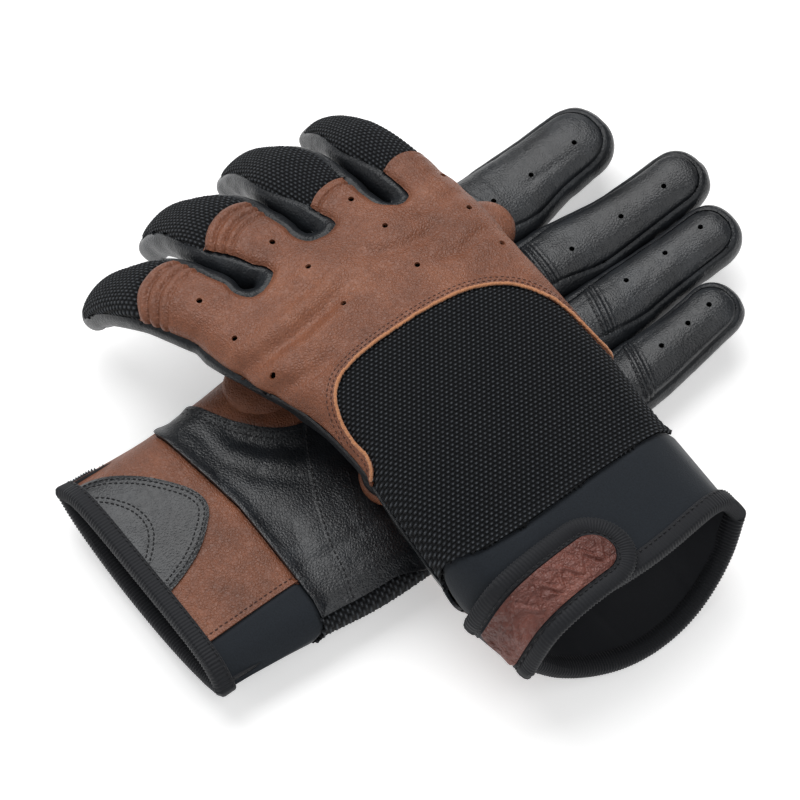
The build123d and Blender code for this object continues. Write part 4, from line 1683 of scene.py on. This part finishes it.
def make_threads(panels, skin):
    """The rows along the knit panel and on the palm, the wrist and the mouth's patch."""
    g = panels.g
    dome = DOMES[g.side]
    brown, black = [], []
    for out in (1.5, 2.9):
        brown += stitches(skin, dome.moved(out), 1, "back_leather", *STITCH["knit"])
    for inside in (1.6, 3.4):
        black += stitches(skin, PATCH.moved(-inside), -1, "cuff", *STITCH["patch"], lift=1.1)
    for inside in (0.0, 1.7):
        black += stitches(skin, PATCH_ARC.moved(-inside), -1, "cuff", *STITCH["patch"], lift=1.15)
    line = np.array([(CUFF_SEAM - 2.0, 3.5), (CUFF_SEAM - 2.0, 38.0)])
    brown += stitches(skin, line, -1, "cuff_leather", *STITCH["wrist"])
    for out in (1.6, 3.6):
        black += stitches(skin, GUSSETS[g.side].moved(out), -1, "palm_leather", *STITCH["gusset"])
    black += stitches(skin, OVERLAY.moved(-1.2), -1, "palm_leather", *STITCH["palm"], lift=0.6)
    black += stitches(skin, PALM_SEAM, -1, "palm_leather", *STITCH["palm"], lift=0.6)
    for parts, name, material in ((brown, "brown_thread", BROWN_THREAD), (black, "black_thread", THREAD)):
        obj = emit(f"{g.side}_{name}", join(parts), material)
        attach(obj, g.side + "_hand")


def make_mouth_thread(panels, mouth):
    """The row beside the mouth's tape, on the outside."""
    g = panels.g
    path, n, into = mouth
    rows = []
    both = even(np.concatenate([path, n, into], 1), 2.2, closed=True)
    q, nn, ii = both[:, :3], unit(both[:, 3:6]), unit(both[:, 6:])
    t = unit(np.roll(q, -1, 0) - np.roll(q, 1, 0))
    for a, b, c, d in zip(q, nn, ii, t):
        middle = a + c * 4.7 + b * 1.85     # on the tape, near its inner edge
        rows.append(capsule(middle - d * 0.7, middle + d * 0.7, THREAD_RADIUS, b))
    obj = emit(g.side + "_mouth_thread", join(rows), THREAD)
    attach(obj, g.side + "_hand")


def make_flex_threads(panels, skin):
    """Three stitched rows across each finger's palm side."""
    g = panels.g
    for f in g.fingers:
        at, slant = FLEX_ROWS[f.name]
        parts = []
        for c in ROW_STEPS:
            u = np.linspace(-f.width * 0.42, f.width * 0.42, 12)
            line = np.array([finger_point(f, at + c + slant * q, q) for q in u])
            parts += stitches(skin, line, -1, f.name + "_palm", *STITCH["flex"])
        if parts:
            obj = emit(f"{g.side}_{f.name}_thread", join(parts), THREAD)
            bend_with(obj, panels, f)


def make_raw_edge(panels, skin):
    """The back leather's cut edge, tan and a little furry, along the knit panel."""
    g = panels.g
    dome = DOMES[g.side]
    pts = even(dome.moved(0.15), 0.35, closed=True)
    kept = []
    for x, y in pts:
        hit = skin.drop(x, y, 1)
        if hit is None or hit[2] not in ("back_leather", "index_knuckle") or hit[3][2] < 0:
            kept.append(None)
        else:
            kept.append((hit[0], hit[1]))
    runs, now = [], []
    for k in kept + [None]:
        if k is None:
            if len(now) > 12:
                runs.append(now)
            now = []
        else:
            now.append(k)
    parts = []
    for run in runs:
        path = np.array([r[0] for r in run])
        n = unit(np.array([r[1] for r in run]))
        path = blur(path, 2.0, closed=False)
        t = unit(np.gradient(path, axis=0))
        side = unit(np.cross(t, n))
        angle = np.arange(8) * math.pi / 4
        ring = np.stack([0.62 * np.cos(angle), 0.55 * np.sin(angle)], 1)
        fuzz = 1 + 0.16 * rng.standard_normal((len(path), 8, 1))
        parts.append(sweep(path + n * 0.05, side, n, ring[None] * fuzz, closed=False))
    obj = emit(g.side + "_raw_edge", join(parts), RAW)
    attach(obj, g.side + "_hand")


def make_glove(glove):
    panels = Panels(glove)
    make_panels(panels)
    make_overlays(panels)
    mouth = make_binding(panels)
    make_lining(panels)
    make_tab(panels)
    make_thumb(panels)
    skin = Skin(panels)
    make_threads(panels, skin)
    make_mouth_thread(panels, mouth)
    make_flex_threads(panels, skin)
    make_raw_edge(panels, skin)


for glove in (LEFT, RIGHT):
    make_glove(glove)

# ---- floor, light and camera ----------------------------------------------------------------------
FLOOR = 6.0      # half its side, in metres
floor_mesh = bpy.data.meshes.new("floor")
floor_mesh.from_pydata([(x * FLOOR, y * FLOOR, 0) for x, y in ((-1, -1), (1, -1), (1, 1), (-1, 1))], [],
                       [(0, 1, 2, 3)])
floor = bpy.data.objects.new("floor", floor_mesh)
bpy.context.scene.collection.objects.link(floor)
ground = bpy.data.materials.new("floor")
ground.use_nodes = True
shader = ground.node_tree.nodes["Principled BSDF"].inputs
shader["Base Color"].default_value = (0.93, 0.93, 0.93, 1)
shader["Roughness"].default_value = 0.9
shader["Emission Color"].default_value = (1, 1, 1, 1)
shader["Emission Strength"].default_value = 0.42
floor_mesh.materials.append(ground)

scene = bpy.context.scene
world = bpy.data.worlds.new("studio")
scene.world = world
world.use_nodes = True
sky = world.node_tree.nodes["Background"].inputs
sky[0].default_value = (1.0, 1.0, 1.0, 1)
sky[1].default_value = 0.16
scene.view_settings.view_transform = "Standard"


def lamp(name, place, aim, size, power, color=(1, 1, 1)):
    data = bpy.data.lights.new(name, "AREA")
    data.shape = "RECTANGLE"
    data.size, data.size_y = size
    data.energy = power
    data.color = color
    obj = bpy.data.objects.new(name, data)
    obj.location = place
    obj.rotation_euler = (Vector(aim) - Vector(place)).to_track_quat("-Z", "Y").to_euler()
    scene.collection.objects.link(obj)


lamp("key", (-0.30, 0.80, 1.35), (0, 0, 0.02), (1.6, 1.3), 22.5)
lamp("fill", (0.7, -0.5, 1.3), (0, 0, 0.02), (1.3, 1.1), 6.0)
lamp("left", (-1.2, -0.1, 0.8), (0, 0, 0.03), (0.8, 0.9), 2.0)
lamp("front", (-0.1, -1.3, 0.7), (0, 0, 0.02), (1.4, 0.6), 1.6)

# seen from 60 degrees above the horizon through a long lens, as in the picture
target = Vector((-3.6, -8.7, 15.0)) * MM
eye = Vector((-3.6, -458.7, 794.4)) * MM
camera_data = bpy.data.cameras.new("camera")
camera_data.lens = 115.4
camera_data.sensor_width = 36.0
camera_data.clip_end = 50.0
camera = bpy.data.objects.new("camera", camera_data)
camera.location = eye
camera.rotation_euler = (target - eye).to_track_quat("-Z", "Y").to_euler()
scene.collection.objects.link(camera)
scene.camera = camera
